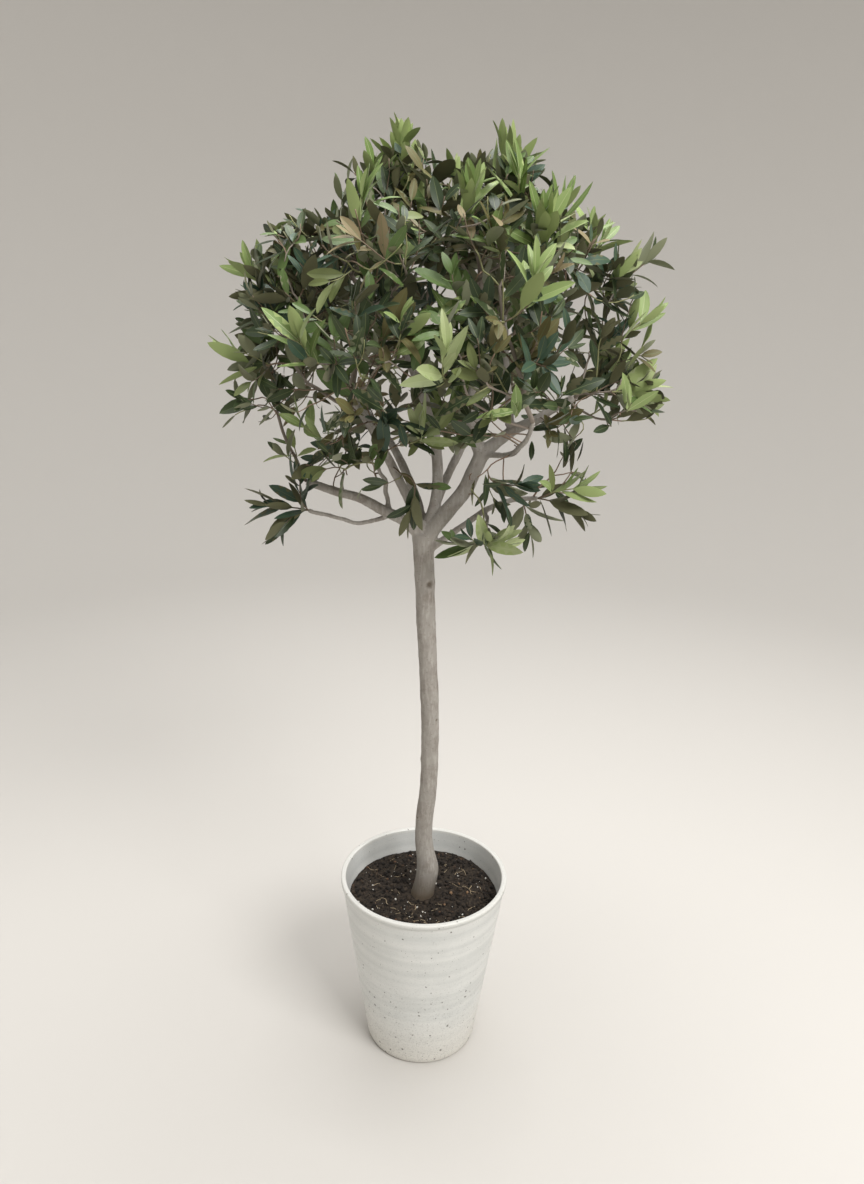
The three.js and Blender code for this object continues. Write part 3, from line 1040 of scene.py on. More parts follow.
@dataclass
class Framework:
    """Stem and boughs as one skin, with swollen crotches and bark relief."""

    buried: float = 8 * MM
    radius: float = 11.2 * MM
    foot_flare: float = 5 * MM
    foot_flare_height: float = 48 * MM
    head_flare: float = 2.2 * MM
    head_flare_height: float = 60 * MM
    stem_steps: int = 90
    bough_steps: int = 36
    collar: float = 0.22
    collar_length: float = 0.12
    lump_size: float = 15 * MM
    lump_height: float = 0.55
    wrinkle_height: float = 0.26
    voxel: float = 1.35 * MM
    smoothing: int = 9
    sides: int = 28
    bark: YoungOliveBark = field(default_factory=YoungOliveBark)

    def __post_init__(self) -> None:
        """Takes the ground level from the stem's CAD node."""
        self.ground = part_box("trunk")[0].z
        level = self.ground / MM
        self.stations = np.array(
            [
                [-3, -4, level - self.buried / MM],
                [4, -2, 256],
                [-1, 0, 302],
                [4, 0, 392],
                [4, 0, 465],
                [-0.5, 0, 556],
                [-6, 0, 652],
                [-9.5, 0, 720],
            ]
        )

    def stem_line(self, steps: int) -> tuple[Array, Array]:
        """Centreline and radii of the stem.

        The line passes through the stations, with each tangent set by the two neighbours. The radius is
        even, with a flare at the foot that dies away as a bell curve and one at the head that dies away
        exponentially.

        Args:
            steps: number of points.

        Returns:
            Points and radii in metres.
        """
        knots = self.stations * MM
        height = knots[:, 2]
        slopes = np.gradient(knots, height, axis=0)
        z = np.linspace(height[0], height[-1], steps)
        i = np.clip(np.searchsorted(height, z) - 1, 0, len(height) - 2)
        span = (height[i + 1] - height[i])[:, None]
        t = (z - height[i])[:, None] / span
        line = (
            knots[i] * (1 + 2 * t) * (1 - t) ** 2
            + slopes[i] * span * t * (1 - t) ** 2
            + knots[i + 1] * t**2 * (3 - 2 * t)
            + slopes[i + 1] * span * t**2 * (t - 1)
        )
        from_foot = np.maximum(z - height[0] - self.buried, 0) / self.foot_flare_height
        from_head = (height[-1] - z) / self.head_flare_height
        foot = self.foot_flare * np.exp(-(from_foot**2))
        head = self.head_flare * np.exp(-from_head)
        return line, self.radius + foot + head

    def _skin(self) -> tuple[Array, Array, Array]:
        """One closed skin over all limbs: overlapping tubes, remeshed into one surface and relaxed.

        Returns:
            Corners, triangles and outward directions at the corners.
        """
        shapes = [tube(*self.stem_line(self.stem_steps), self.sides)]
        for bough in BOUGHS:
            line, radii = bough.line(self.bough_steps)
            # A collar swells the first tenth of each bough where it joins its parent.
            share = np.linspace(0, 1, self.bough_steps)
            collar = 1 + self.collar * np.exp(-((share / self.collar_length) ** 2))
            shapes.append(tube(line, radii * collar, self.sides // 2))
        rough = mesh_piece("limbs_rough", *joined(shapes), [])
        merge = rough.modifiers.new("merge", "REMESH")
        merge.mode = "VOXEL"
        merge.voxel_size = self.voxel
        relax = rough.modifiers.new("relax", "SMOOTH")
        relax.factor = 0.5
        relax.iterations = self.smoothing
        split = rough.modifiers.new("split", "TRIANGULATE")
        split.quad_method = "SHORTEST_DIAGONAL"
        graph = bpy.context.evaluated_depsgraph_get()
        whole = bpy.data.meshes.new_from_object(rough.evaluated_get(graph))
        points = np.zeros(len(whole.vertices) * 3, np.float32)
        normals = np.zeros_like(points)
        faces = np.zeros(len(whole.loops), np.int32)
        whole.vertices.foreach_get("co", points)
        whole.vertices.foreach_get("normal", normals)
        whole.loops.foreach_get("vertex_index", faces)
        bpy.data.objects.remove(rough)
        bpy.data.meshes.remove(whole)
        points, normals = (rows.reshape(-1, 3).astype(float) for rows in (points, normals))
        return points, faces.reshape(-1, 3), normals

    def _relief(self, points: Array) -> Array:
        """How far the bark stands out: soft lumps, upright wrinkles, swellings, and pruning scars.

        A swelling is a bell curve of the distance from its middle. A scar is a bell curve with a
        narrower, deeper one taken out of it.

        Args:
            points: places on the skin.

        Returns:
            A height for each.
        """
        lumps = layered_noise(points / self.lump_size, seed=21) * self.lump_height * MM
        wrinkles = layered_noise(points / WRINKLE_SIZE / MM, seed=27, layers=2) * self.wrinkle_height * MM
        relief = lumps + wrinkles
        for *place, size, rise in SWELLINGS:
            away = np.linalg.norm(points - np.array(place) * MM, axis=1) / (size * MM)
            relief += rise * MM * np.exp(-(away**2))
        for *place, size in KNOTS:
            away = np.linalg.norm(points - np.array(place) * MM, axis=1) / (size * MM)
            relief += size * MM * (0.34 * np.exp(-(away**2)) - 0.45 * np.exp(-((away / 0.42) ** 2)))
        return relief

    def build(self) -> bpy.types.Object:
        """Makes the skin, moves each corner outwards by the relief, and levels the foot.

        Returns:
            The finished piece.
        """
        points, faces, normals = self._skin()
        points = points + normals * self._relief(points)[:, None]
        points[:, 2] = np.maximum(points[:, 2], self.ground - 4 * MM)
        piece = mesh_piece("stem_and_boughs", points, faces, [self.bark.make(self.ground)])
        return dress(piece, ["trunk"] + [bough.name for bough in BOUGHS])


# Width, width and length of the bark's upright wrinkles, in millimetres.
WRINKLE_SIZE = np.array([3.2, 3.2, 11])

# Where the stem swells or narrows: place, size and rise in millimetres.
SWELLINGS = (
    (18, -6, 262, 14, 1.8),
    (-20, -8, 238, 16, -2.2),
    (18, -8, 232, 12, -1.2),
    (-14, -6, 345, 18, 0.9),
    (14, -6, 520, 20, 0.8),
    (-16, -4, 610, 18, 0.8),
)

# Scars left by pruned shoots on the stem: place and size in millimetres.
KNOTS = (
    (-0.5, -10.5, 659, 9.5),
    (-15, -5, 668, 4.5),
    (12, -8, 480, 3.5),
    (-9, -6, 338, 4),
    (1, 10, 590, 5.5),
    (-9, 4, 420, 4.5),
    (-12, 8, 690, 6),
)


# ------------------------------------------------------------------------------------------------ crown


@dataclass
class Branching:
    """The crown's twigs as nodes: where each is, the node it grew from, and the way it points."""

    places: Array
    parents: Array
    headings: Array
    radii: Array = field(default_factory=lambda: np.zeros(0))


# Points along each bough's line, and how many at its foot bear no twigs.
BOUGH_NODES = 25
BARE_NODES = 5

# Middles and half-widths, in millimetres, of the ellipsoids that round the crown between the solids:
# the globe, its crest, its left shoulder, and the loose skirt in front of the limbs.
FILLS = (
    ((0, 0, 958), (196, 170, 92)),
    ((20, 0, 1030), (128, 118, 56)),
    ((8, 0, 1072), (62, 70, 40)),
    ((-142, -6, 968), (80, 110, 62)),
    ((-62, -76, 852), (80, 62, 38)),
    ((-94, -30, 806), (40, 48, 24)),
    ((34, -92, 862), (60, 54, 34)),
    ((138, -22, 860), (56, 60, 34)),
    ((-50, -42, 790), (56, 36, 26)),
    ((62, -54, 788), (46, 34, 26)),
)


@dataclass(frozen=True)
class Plume:
    """A shoot placed one by one: the place its base is nearest to, its length, its aim, and if it is young.
    """

    near: Triple
    length: float
    aim: Triple
    young: bool = True


# Places and lengths in millimetres: first the young shoots that stand out of the crown.
PLUMES = (
    Plume((-50, 0, 1096), 34, (0.05, 0, 1)),
    Plume((-30, 10, 1096), 26, (0.2, 0, 1)),
    Plume((30, 10, 1096), 26, (0.1, 0, 1)),
    Plume((52, -20, 1098), 30, (-0.1, 0, 1)),
    Plume((84, 0, 1094), 34, (0.1, 0, 1)),
    Plume((96, 10, 1080), 26, (0, 0, 1)),
    Plume((136, -40, 1060), 30, (0.5, -0.1, 1)),
    Plume((180, -20, 1020), 34, (0.6, 0, 0.8)),
    Plume((196, -30, 975), 34, (0.7, -0.2, 0.7)),
    Plume((212, -10, 930), 36, (0.9, 0, 0.4)),
    Plume((196, -30, 880), 32, (1, -0.2, 0.2)),
    Plume((6, -170, 915), 46, (0.3, -0.5, 1)),
    Plume((84, -170, 975), 44, (0.2, -0.4, 1)),
    Plume((-26, -120, 842), 38, (-0.3, -1, 0.3)),
    Plume((-188, -30, 1000), 26, (-0.7, 0, 0.7)),
    Plume((-216, -20, 920), 36, (-1, 0, 0.5)),
    Plume((-120, -150, 950), 36, (-0.3, -0.5, 0.9)),
    Plume((72, -40, 722), 24, (0.9, -0.4, 0.3)),
    Plume((150, -20, 775), 34, (1, 0, 0.1)),
    Plume((40, 170, 960), 40, (0, 0.7, 0.8)),
    Plume((-110, 160, 985), 40, (-0.3, 0.6, 0.9)),
    Plume((48, -90, 1080), 34, (0, -0.1, 1)),
    Plume((78, -110, 1050), 38, (-0.1, -0.3, 1)),
    Plume((105, -105, 1025), 32, (0.1, -0.3, 1)),
    Plume((-80, -110, 1035), 32, (0.1, -0.4, 1)),
    Plume((155, -120, 985), 34, (0.3, -0.3, 1)),
    Plume((22, -110, 1060), 28, (-0.2, -0.5, 0.8)),
    # Older sprays that hang under the crown, from the low boughs and in front of the fork.
    Plume((62, -40, 724), 36, (-0.7, -0.2, 0.25), young=False),
    Plume((62, -40, 724), 32, (-0.3, -0.4, 0.5), young=False),
    Plume((125, -60, 880), 44, (0.2, -0.5, 0.4), young=False),
    Plume((70, -40, 735), 34, (0.3, -0.3, 0.4)),
    Plume((100, -20, 760), 42, (0.2, -0.2, -0.7), young=False),
    Plume((122, -18, 768), 46, (0.8, -0.2, -0.2), young=False),
    Plume((60, -60, 790), 40, (0.5, -0.3, 0.2), young=False),
    Plume((-140, -34, 752), 44, (-0.8, -0.2, 0.1), young=False),
    Plume((-135, -34, 755), 38, (0.1, -0.2, 0.8), young=False),
    Plume((-110, -34, 750), 36, (-0.3, -0.3, -0.4), young=False),
    Plume((205, -30, 1000), 46, (0.7, -0.2, 0.6), young=False),
    Plume((-40, -50, 790), 40, (-0.3, -0.2, -0.8), young=False),
)


@dataclass
class Envelope:
    """The room the crown fills: the foliage solids' ellipsoids, melted together and rounded into a globe.

    Each ellipsoid gives a place its squared distance from the middle, in half-widths. The soft minimum
    over all of them, -ln(sum of exp(-k q)) / k, is under one inside. It fills the valleys between
    neighbours and leaves the gaps below the crown open.
    """

    melt: float = 2.4

    def __post_init__(self) -> None:
        """Takes the middles and half-widths from the foliage solids, and adds the fills."""
        boxes = [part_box(name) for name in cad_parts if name.startswith("foliage_")]
        solids = [((np.array(low) + high) / 2, (np.array(high) - low) / 2) for low, high in boxes]
        solids += [(np.array(middle) * MM, np.array(half) * MM) for middle, half in FILLS]
        self.middles = np.array([middle for middle, _ in solids])
        self.halves = np.array([half for _, half in solids])

    def reach(self, places: Array) -> Array:
        """How far out each place is: 0 in a middle, 1 at the outline."""
        away = (places[:, None] - self.middles) / self.halves
        melted = -np.log(np.exp(-self.melt * np.sum(away**2, axis=2)).sum(1) + 1e-30) / self.melt
        return np.sqrt(np.maximum(melted, 0))


@dataclass
class Crown:
    """The crown: twigs that grow from the boughs into the envelope, and leafy shoots along the twigs.

    The envelope is filled with evenly spread buds, closer at the top than below. Twigs grow step by step
    from the boughs; each bud pulls the nearest twig towards it until it is reached, so twigs fork between
    buds, fill the envelope, and stay out of the gaps.
    """

    seed: int = 7
    step: float = 8 * MM
    reached: float = 9 * MM
    rounds: int = 90
    bud_reach: float = 0.68
    shoot_reach: float = 0.86
    leaf_reach: float = 0.98
    globe_reach: float = 0.99
    skirt_reach: float = 0.17
    shoulder_cut: float = 0.09
    fringe_reach: float = 0.06
    twiglet_reach: float = 0.3
    crest_cut: float = 0.1
    top_spacing: float = 18.5 * MM
    middle_spacing: float = 23.5 * MM
    low_spacing: float = 20 * MM
    inner_spacing: float = 2.0
    twig_tip: float = 0.72 * MM
    pipe_power: float = 2.3
    keep_straight: float = 0.45
    lift: float = 0.1
    wander: float = 0.3
    bud_tries: int = 26000
    bud_margin: float = 0.16
    crowded: float = 0.45
    cancelled: float = 0.35
    shoulder_heights: Span = (0.97, 1.02)
    shoulder_sides: Span = (0.12, 0.18)
    skirt_heights: Span = (0.93, 0.84)
    fringe_heights: Span = (0.91, 0.84)
    twiglet_heights: Span = (0.77, 0.75)
    crest_heights: Span = (1.05, 1.09)
    middle: Triple = (0.012, 0, 0.945)
    half_width: Triple = (0.243, 0.225, 0.203)

    def __post_init__(self) -> None:
        """Sets up the random numbers and the room to fill."""
        self.draw = np.random.default_rng(self.seed)
        self.envelope = Envelope()
        self.masses = sorted(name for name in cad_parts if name.startswith("foliage_"))

    def outness(self, places: Array) -> Array:
        """How far out in the whole globe each place is: 0 in the middle, 1 on the outside."""
        return np.linalg.norm((places - self.middle) / self.half_width, axis=-1)

    def globe_limit(self, places: Array) -> Array:
        """How far out in the globe the crown may reach: more in the skirt, less on the right shoulder."""
        high = smooth_step(*self.shoulder_heights, places[:, 2])
        shoulder = high * smooth_step(*self.shoulder_sides, places[:, 0])
        skirt = smooth_step(*self.skirt_heights, places[:, 2])
        return self.globe_reach + self.skirt_reach * skirt - self.shoulder_cut * shoulder

    def slack(self, places: Array) -> Array:
        """How much further out twigs and leaves may reach: more low down, less on the crest."""
        height = places[:, 2]
        low = self.fringe_reach * smooth_step(*self.fringe_heights, height)
        lowest = self.twiglet_reach * smooth_step(*self.twiglet_heights, height)
        return low + lowest - self.crest_cut * smooth_step(*self.crest_heights, height)

    def _buds(self) -> Array:
        """Buds in the envelope, none nearer to another than the spacing there.

        The spacing is narrowest at the top and in the lowest sprays, and widens towards the middle of
        the globe, where little light reaches.

        Returns:
            Places of the buds.
        """
        low, high = (np.array(corner) for corner in CAD_BOX)
        low[2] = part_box("foliage_low_front")[0].z
        places = self.draw.uniform(low, high, (self.bud_tries, 3))
        places = places[self.envelope.reach(places) < self.bud_reach + self.slack(places)]
        places = places[self.outness(places) < self.globe_limit(places) - self.bud_margin]
        heights = (0.75, 0.77, 0.84, 0.88, 0.98, 1.05)
        middle = (self.middle_spacing, self.middle_spacing)
        steps = (0.7 * self.low_spacing, self.low_spacing, self.low_spacing, *middle, self.top_spacing)
        spacing = np.interp(places[:, 2], heights, steps)
        inner = smooth_step(0.75, 0.3, self.outness(places)) * smooth_step(0.82, 0.9, places[:, 2])
        spacing *= 1 + (self.inner_spacing - 1) * inner
        kept = np.zeros((0, 3))
        for place, gap in zip(places, spacing):
            if not len(kept) or np.min(np.sum((kept - place) ** 2, axis=1)) > gap**2:
                kept = np.concatenate([kept, place[None]])
        return kept

    def _start(self) -> Branching:
        """The outer part of the boughs' own lines, from which twigs may grow.

        Returns:
            The nodes along them.
        """
        places, parents, headings = [], [], []
        for bough in BOUGHS:
            outer = bough.line(BOUGH_NODES)[0][BARE_NODES:]
            first = len(places)
            places += list(outer)
            parents += [-1] + list(range(first, first + len(outer) - 1))
            headings += list(unit(np.gradient(outer, axis=0)))
        return Branching(np.array(places), np.array(parents), np.array(headings))

    def grow(self) -> Branching:
        """Grows twigs from the boughs to every bud.

        In each round every bud still waiting pulls its nearest node. A pulled node grows one step along
        a mix of the mean pull, its own heading, a little lift and a little wander. A bud whose nearest
        node comes within reach is done.

        Returns:
            All nodes, with the boughs' own first.
        """
        buds = self._buds()
        tree = self._start()
        self.bough_nodes = len(tree.places)
        away = np.linalg.norm(buds[:, None] - tree.places[None], axis=2)
        nearest, distance = away.argmin(1), away.min(1)
        waiting = distance > self.reached
        for _ in range(self.rounds):
            if not waiting.any():
                break
            pulled, which = np.unique(nearest[waiting], return_inverse=True)
            pull = unit(buds[waiting] - tree.places[nearest[waiting]])
            total = np.zeros((len(pulled), 3))
            np.add.at(total, which, pull)
            count = np.bincount(which)[:, None]
            # Where pulls cancel out, the node follows just one of them.
            single = np.zeros_like(total)
            single[which] = pull
            agreed = np.linalg.norm(total, axis=1, keepdims=True) / count
            total = np.where(agreed < self.cancelled, single, total)
            way = unit(total) + self.keep_straight * tree.headings[pulled] + self.lift * UP
            way = unit(way + self.draw.normal(0, self.wander, way.shape))
            fresh = tree.places[pulled] + self.step * way
            gap = np.linalg.norm(fresh[:, None] - tree.places[None], axis=2).min(1)
            room = gap > self.crowded * self.step
            if not room.any():
                # Nothing can grow, so a few of the waiting buds are given up.
                waiting &= self.draw.random(len(waiting)) > 0.1
                continue
            first = len(tree.places)
            tree.places = np.concatenate([tree.places, fresh[room]])
            tree.parents = np.concatenate([tree.parents, pulled[room]])
            tree.headings = np.concatenate([tree.headings, way[room]])
            away = np.linalg.norm(buds[:, None] - fresh[room][None], axis=2)
            closer = away.min(1) < distance
            nearest = np.where(closer, first + away.argmin(1), nearest)
            distance = np.where(closer, away.min(1), distance)
            waiting &= distance > self.reached
        LOG.info("%d buds, %d twig nodes, %d buds unreached", len(buds), len(tree.places), waiting.sum())
        tree.radii = self._thickness(tree)
        return tree

    def _thickness(self, tree: Branching) -> Array:
        """Radius at each node: the powers of the radii of a node's children add up to its own.

        Args:
            tree: all nodes.

        Returns:
            The radii.
        """
        power = np.zeros(len(tree.places))
        for node in range(len(tree.places) - 1, -1, -1):
            power[node] = max(power[node], self.twig_tip**self.pipe_power)
            if tree.parents[node] >= 0:
                power[tree.parents[node]] += power[node]
        return power ** (1 / self.pipe_power)

    def chains(self, tree: Branching) -> list[Array]:
        """Splits the twigs into unforked runs, each carrying on along its thickest child.

        Args:
            tree: all nodes.

        Returns:
            For each run its node numbers, starting with the node it forks from.
        """
        children: list[list[int]] = [[] for _ in tree.places]
        for node, parent in enumerate(tree.parents):
            if parent >= 0:
                children[parent].append(node)
        runs = []
        ends = [(parent, node) for parent in range(len(children)) for node in children[parent]]
        leading = {}
        for parent, nodes in enumerate(children):
            grown = [n for n in nodes if n >= self.bough_nodes]
            if grown and parent >= self.bough_nodes:
                leading[parent] = max(grown, key=lambda n: tree.radii[n])
        for parent, node in ends:
            if node < self.bough_nodes or leading.get(parent) == node:
                continue
            run = [parent, node]
            while run[-1] in leading:
                run.append(leading[run[-1]])
            runs.append(np.array(run))
        return runs

    def build(self) -> list[bpy.types.Object]:
        """Grows the crown and makes its twigs, shoots and leaves.

        Returns:
            The finished pieces.
        """
        tree = self.grow()
        runs = self.chains(tree)
        twigs = TwigMaker(self, tree, runs)
        shoots = ShootMaker(self, twigs.lines).lines
        leaves = LeafMaker(self, shoots)
        return twigs.build(self.masses, leaves.leafy_lines()) + leaves.build(self.masses)


@dataclass
class TwigLine:
    """One run of twig or shoot: its points from base to tip, its radii, its tone, and if it is a plume."""

    points: Array
    radii: Array
    tone: Tone = Tone.DARK
    plume: bool = False

    def travelled(self) -> Array:
        """Length of the line up to each of its points."""
        reach = np.linalg.norm(np.diff(self.points, axis=0), axis=1)
        return np.concatenate([[0], np.cumsum(reach)])

    def tip_heading(self) -> Array:
        """The way the line points at its tip."""
        return unit(self.points[-1] - self.points[-2])


def sideways(along: Array, turn: float) -> Array:
    """A direction square to another, turned about it by an angle from level."""
    first = unit(np.cross(along, UP + np.array([0.01, 0, 0])))
    return first * math.cos(turn) + np.cross(along, first) * math.sin(turn)


# Twigs are held to this radius, and have grey bark from this radius up.
THICKEST_TWIG = 5 * MM
GREY_FROM = 1.25 * MM


def twig_sides(radius: float) -> int:
    """Corners round a twig: fewer on thinner ones."""
    return 8 if radius > 2 * MM else 6 if radius > 1.1 * MM else 4


class TwigMaker:
    """Twigs as thin tubes along the runs."""

    def __init__(self, crown: Crown, tree: Branching, runs: list[Array]) -> None:
        """Relaxes the runs into smooth lines.

        Args:
            crown: the crown's sizes.
            tree: all nodes.
            runs: node numbers of each run.
        """
        self.crown = crown
        places = tree.places.copy()
        inner = tree.parents >= 0
        inner[: crown.bough_nodes] = False
        # Each node moves part of the way to the middle of its parent and its mean child.
        for _ in range(2):
            sums, counts = np.zeros_like(places), np.zeros(len(places))
            np.add.at(sums, tree.parents[inner], places[inner])
            np.add.at(counts, tree.parents[inner], 1)
            forked = inner & (counts > 0)
            child = sums[forked] / counts[forked, None]
            places[forked] = 0.5 * places[forked] + 0.25 * (child + places[tree.parents[forked]])
        self.lines = []
        for run in runs:
            radii = tree.radii[run].copy()
            radii[0] = radii[1]
            self.lines.append(TwigLine(places[run], np.minimum(radii, THICKEST_TWIG)))

    def build(self, masses: list[str], shoots: list[TwigLine]) -> list[bpy.types.Object]:
        """Makes the twigs: grey older wood, and greener or redder young wood in the shoots.

        Args:
            masses: the CAD nodes they stand for.
            shoots: the leafy shoots, made along with the twigs.

        Returns:
            The finished pieces.
        """
        finishes = [
            PlainFinish("twig_grey_bark", "#8a8075", 0.8).make(),
            PlainFinish("twig_brown_bark", "#756655", 0.78).make(),
            PlainFinish("twig_young_green", "#8b8c62", 0.65).make(),
            PlainFinish("twig_young_red", "#86705e", 0.65).make(),
        ]
        shapes, tones = [], []
        for line in self.lines + shoots:
            thick = line.radii[0]
            shape = tube(line.points, line.radii, twig_sides(thick))
            young = 2 if line.tone in FRESH_TONES else self.crown.draw.choice([1, 2, 3], p=[0.55, 0.2, 0.25])
            tone = 0 if thick > GREY_FROM else young
            shapes.append(shape)
            tones.append(np.full(len(shape[1]), tone))
        points, faces = joined(shapes)
        piece = mesh_piece("twigs", points, faces, finishes, np.concatenate(tones))
        return [dress(piece, masses)]


class ShootMaker:
    """Leafy shoots: one at the tip of every twig, and more from its sides, bending up and outwards."""

    def __init__(self, crown: Crown, twigs: list[TwigLine]) -> None:
        """Grows all shoots.

        Args:
            crown: the crown's sizes and random numbers.
            twigs: the twigs they stand on.
        """
        self.crown = crown
        self.draw = crown.draw
        self.lines: list[TwigLine] = []
        # A plume may also stand on the bare end of a bough.
        ends = [bough.line(BOUGH_NODES)[0][-3:] for bough in BOUGHS]
        holds = twigs + [TwigLine(end, np.full(3, MM), Tone.MID) for end in ends]
        tips = np.array([hold.points[-1] for hold in holds])
        for plume in PLUMES:
            nearest = holds[int(np.argmin(np.linalg.norm(tips - np.array(plume.near) * MM, axis=1)))]
            self._grow_plume(nearest, plume)
        for twig in twigs:
            self._grow(twig.points[-1], twig.tip_heading(), twig.radii[-1], leader=True)
            travelled = twig.travelled()
            here = travelled[-1] - self.draw.uniform(12, 26) * MM
            turn = self.draw.uniform(0, 2 * math.pi)
            while here > 6 * MM:
                i = int(min(np.searchsorted(travelled, here), len(travelled) - 1))
                if twig.radii[i] > 2.3 * MM:
                    break
                along = unit(twig.points[i] - twig.points[i - 1])
                heading = unit(along * 0.7 + sideways(along, turn))
                self._grow(twig.points[i], heading, twig.radii[i] * 0.8, leader=False)
                turn += math.pi / 2 + self.draw.normal(0, 0.5)
                dense = smooth_step(0.88, 1.02, twig.points[i][2])
                here -= self.draw.uniform(20, 44) * MM * (1 - 0.3 * dense)

    def _grow_plume(self, twig: TwigLine, plume: Plume) -> None:
        """Grows a shoot from a twig's tip that turns towards the plume's aim.

        Args:
            twig: the twig or bough end it stands on.
            plume: its length, its aim, and whether it is young.
        """
        heading = twig.tip_heading()
        aim = unit(np.array(plume.aim, float))
        steps = 7
        points = [twig.points[-1]]
        for _ in range(steps):
            heading = unit(heading + 0.5 * aim + self.draw.normal(0, 0.06, 3))
            points.append(points[-1] + heading * plume.length * MM / steps)
        tone = self.draw.choice(FRESH_TONES, p=[0.4, 0.44, 0.16])
        if not plume.young:
            tone = self.draw.choice([Tone.DARK, Tone.DEEP, Tone.BLUE, Tone.MID])
        radii = np.linspace(0.95, 0.55, steps + 1) * MM
        self.lines.append(TwigLine(np.array(points), radii, tone, plume=True))

    def _tone(self, place: Array) -> Tone:
        """Draws the tone of one shoot: young ones stand at the top and outside, and more of the pale young
        tones on the right are painted light from the key lamp there.

        Args:
            place: where the shoot starts.

        Returns:
            Its tone.
        """
        out = self.crown.outness(place)
        youth_and_lit_side = 0.025 + 0.12 * smooth_step(0.7, 0.95, out) * smooth_step(1.0, 1.1, place[2])
        # Painted light: the right side, which the key lamp lights, gets more pale young tones.
        youth_and_lit_side += 0.13 * smooth_step(0.7, 0.95, out) * smooth_step(-0.02, 0.16, place[0])
        youth_and_lit_side += 0.1 * smooth_step(1.02, 1.09, place[2])
        roll = self.draw.random()
        if roll < youth_and_lit_side:
            return self.draw.choice(FRESH_TONES, p=[0.46, 0.4, 0.14])
        if roll < youth_and_lit_side + 0.012:
            return Tone.DRY
        # The crown darkens inwards: painted shade where little light reaches, and the old leaves that are
        # left there.
        inner_shade_and_age = smooth_step(1.0, 0.6, out)
        crest = smooth_step(1.0, 1.08, place[2])
        likely = {
            Tone.DARK: 0.25 + 0.2 * inner_shade_and_age - 0.15 * crest,
            Tone.DEEP: 0.26,
            Tone.BLUE: 0.12,
            Tone.MID: 0.16 + 0.15 * crest,
            Tone.SOFT: 0.1 + 0.1 * crest,
            Tone.OLIVE: 0.11 + 0.06 * inner_shade_and_age,
        }
        shares = np.array(list(likely.values()))
        return self.draw.choice(list(likely), p=shares / shares.sum())

    def _grow(self, base: Array, heading: Array, radius: float, leader: bool) -> None:
        """Grows one shoot: a path of even steps whose heading bends up, outwards and at random.

        Args:
            base: where it starts.
            heading: the way it starts.
            radius: how thick its twig is there.
            leader: whether it carries the twig on, and so is longer.
        """
        out = self.crown.outness(base)
        if self.draw.random() > 0.25 + 0.75 * smooth_step(0.35, 0.75, out):
            return
        tone = self._tone(base)
        young = tone in FRESH_TONES
        length = self.draw.uniform(24, 52) + (14 if young else 0) + (8 if leader else 0)
        steps = max(4, round(length / 7))
        outward = unit((base - self.crown.middle) / self.crown.half_width)
        lift = 0.3 if young else 0.1
        points = [base]
        for _ in range(steps):
            bend = lift * UP + 0.12 * outward + self.draw.normal(0, 0.12, 3)
            heading = unit(heading + bend)
            points.append(points[-1] + heading * length * MM / steps)
        path = np.array(points)
        limit = self.crown.shoot_reach + (0.1 if young else 0)
        outside = self.crown.envelope.reach(path) > limit + self.crown.slack(path)
        outside |= self.crown.outness(path) > self.crown.globe_limit(path) - 0.07
        outside = np.flatnonzero(outside)
        if len(outside):
            path = path[: outside[0]]
        if len(path) < 3:
            return
        radii = np.linspace(min(radius, 0.95 * MM), 0.55 * MM, len(path))
        self.lines.append(TwigLine(path, radii, tone))


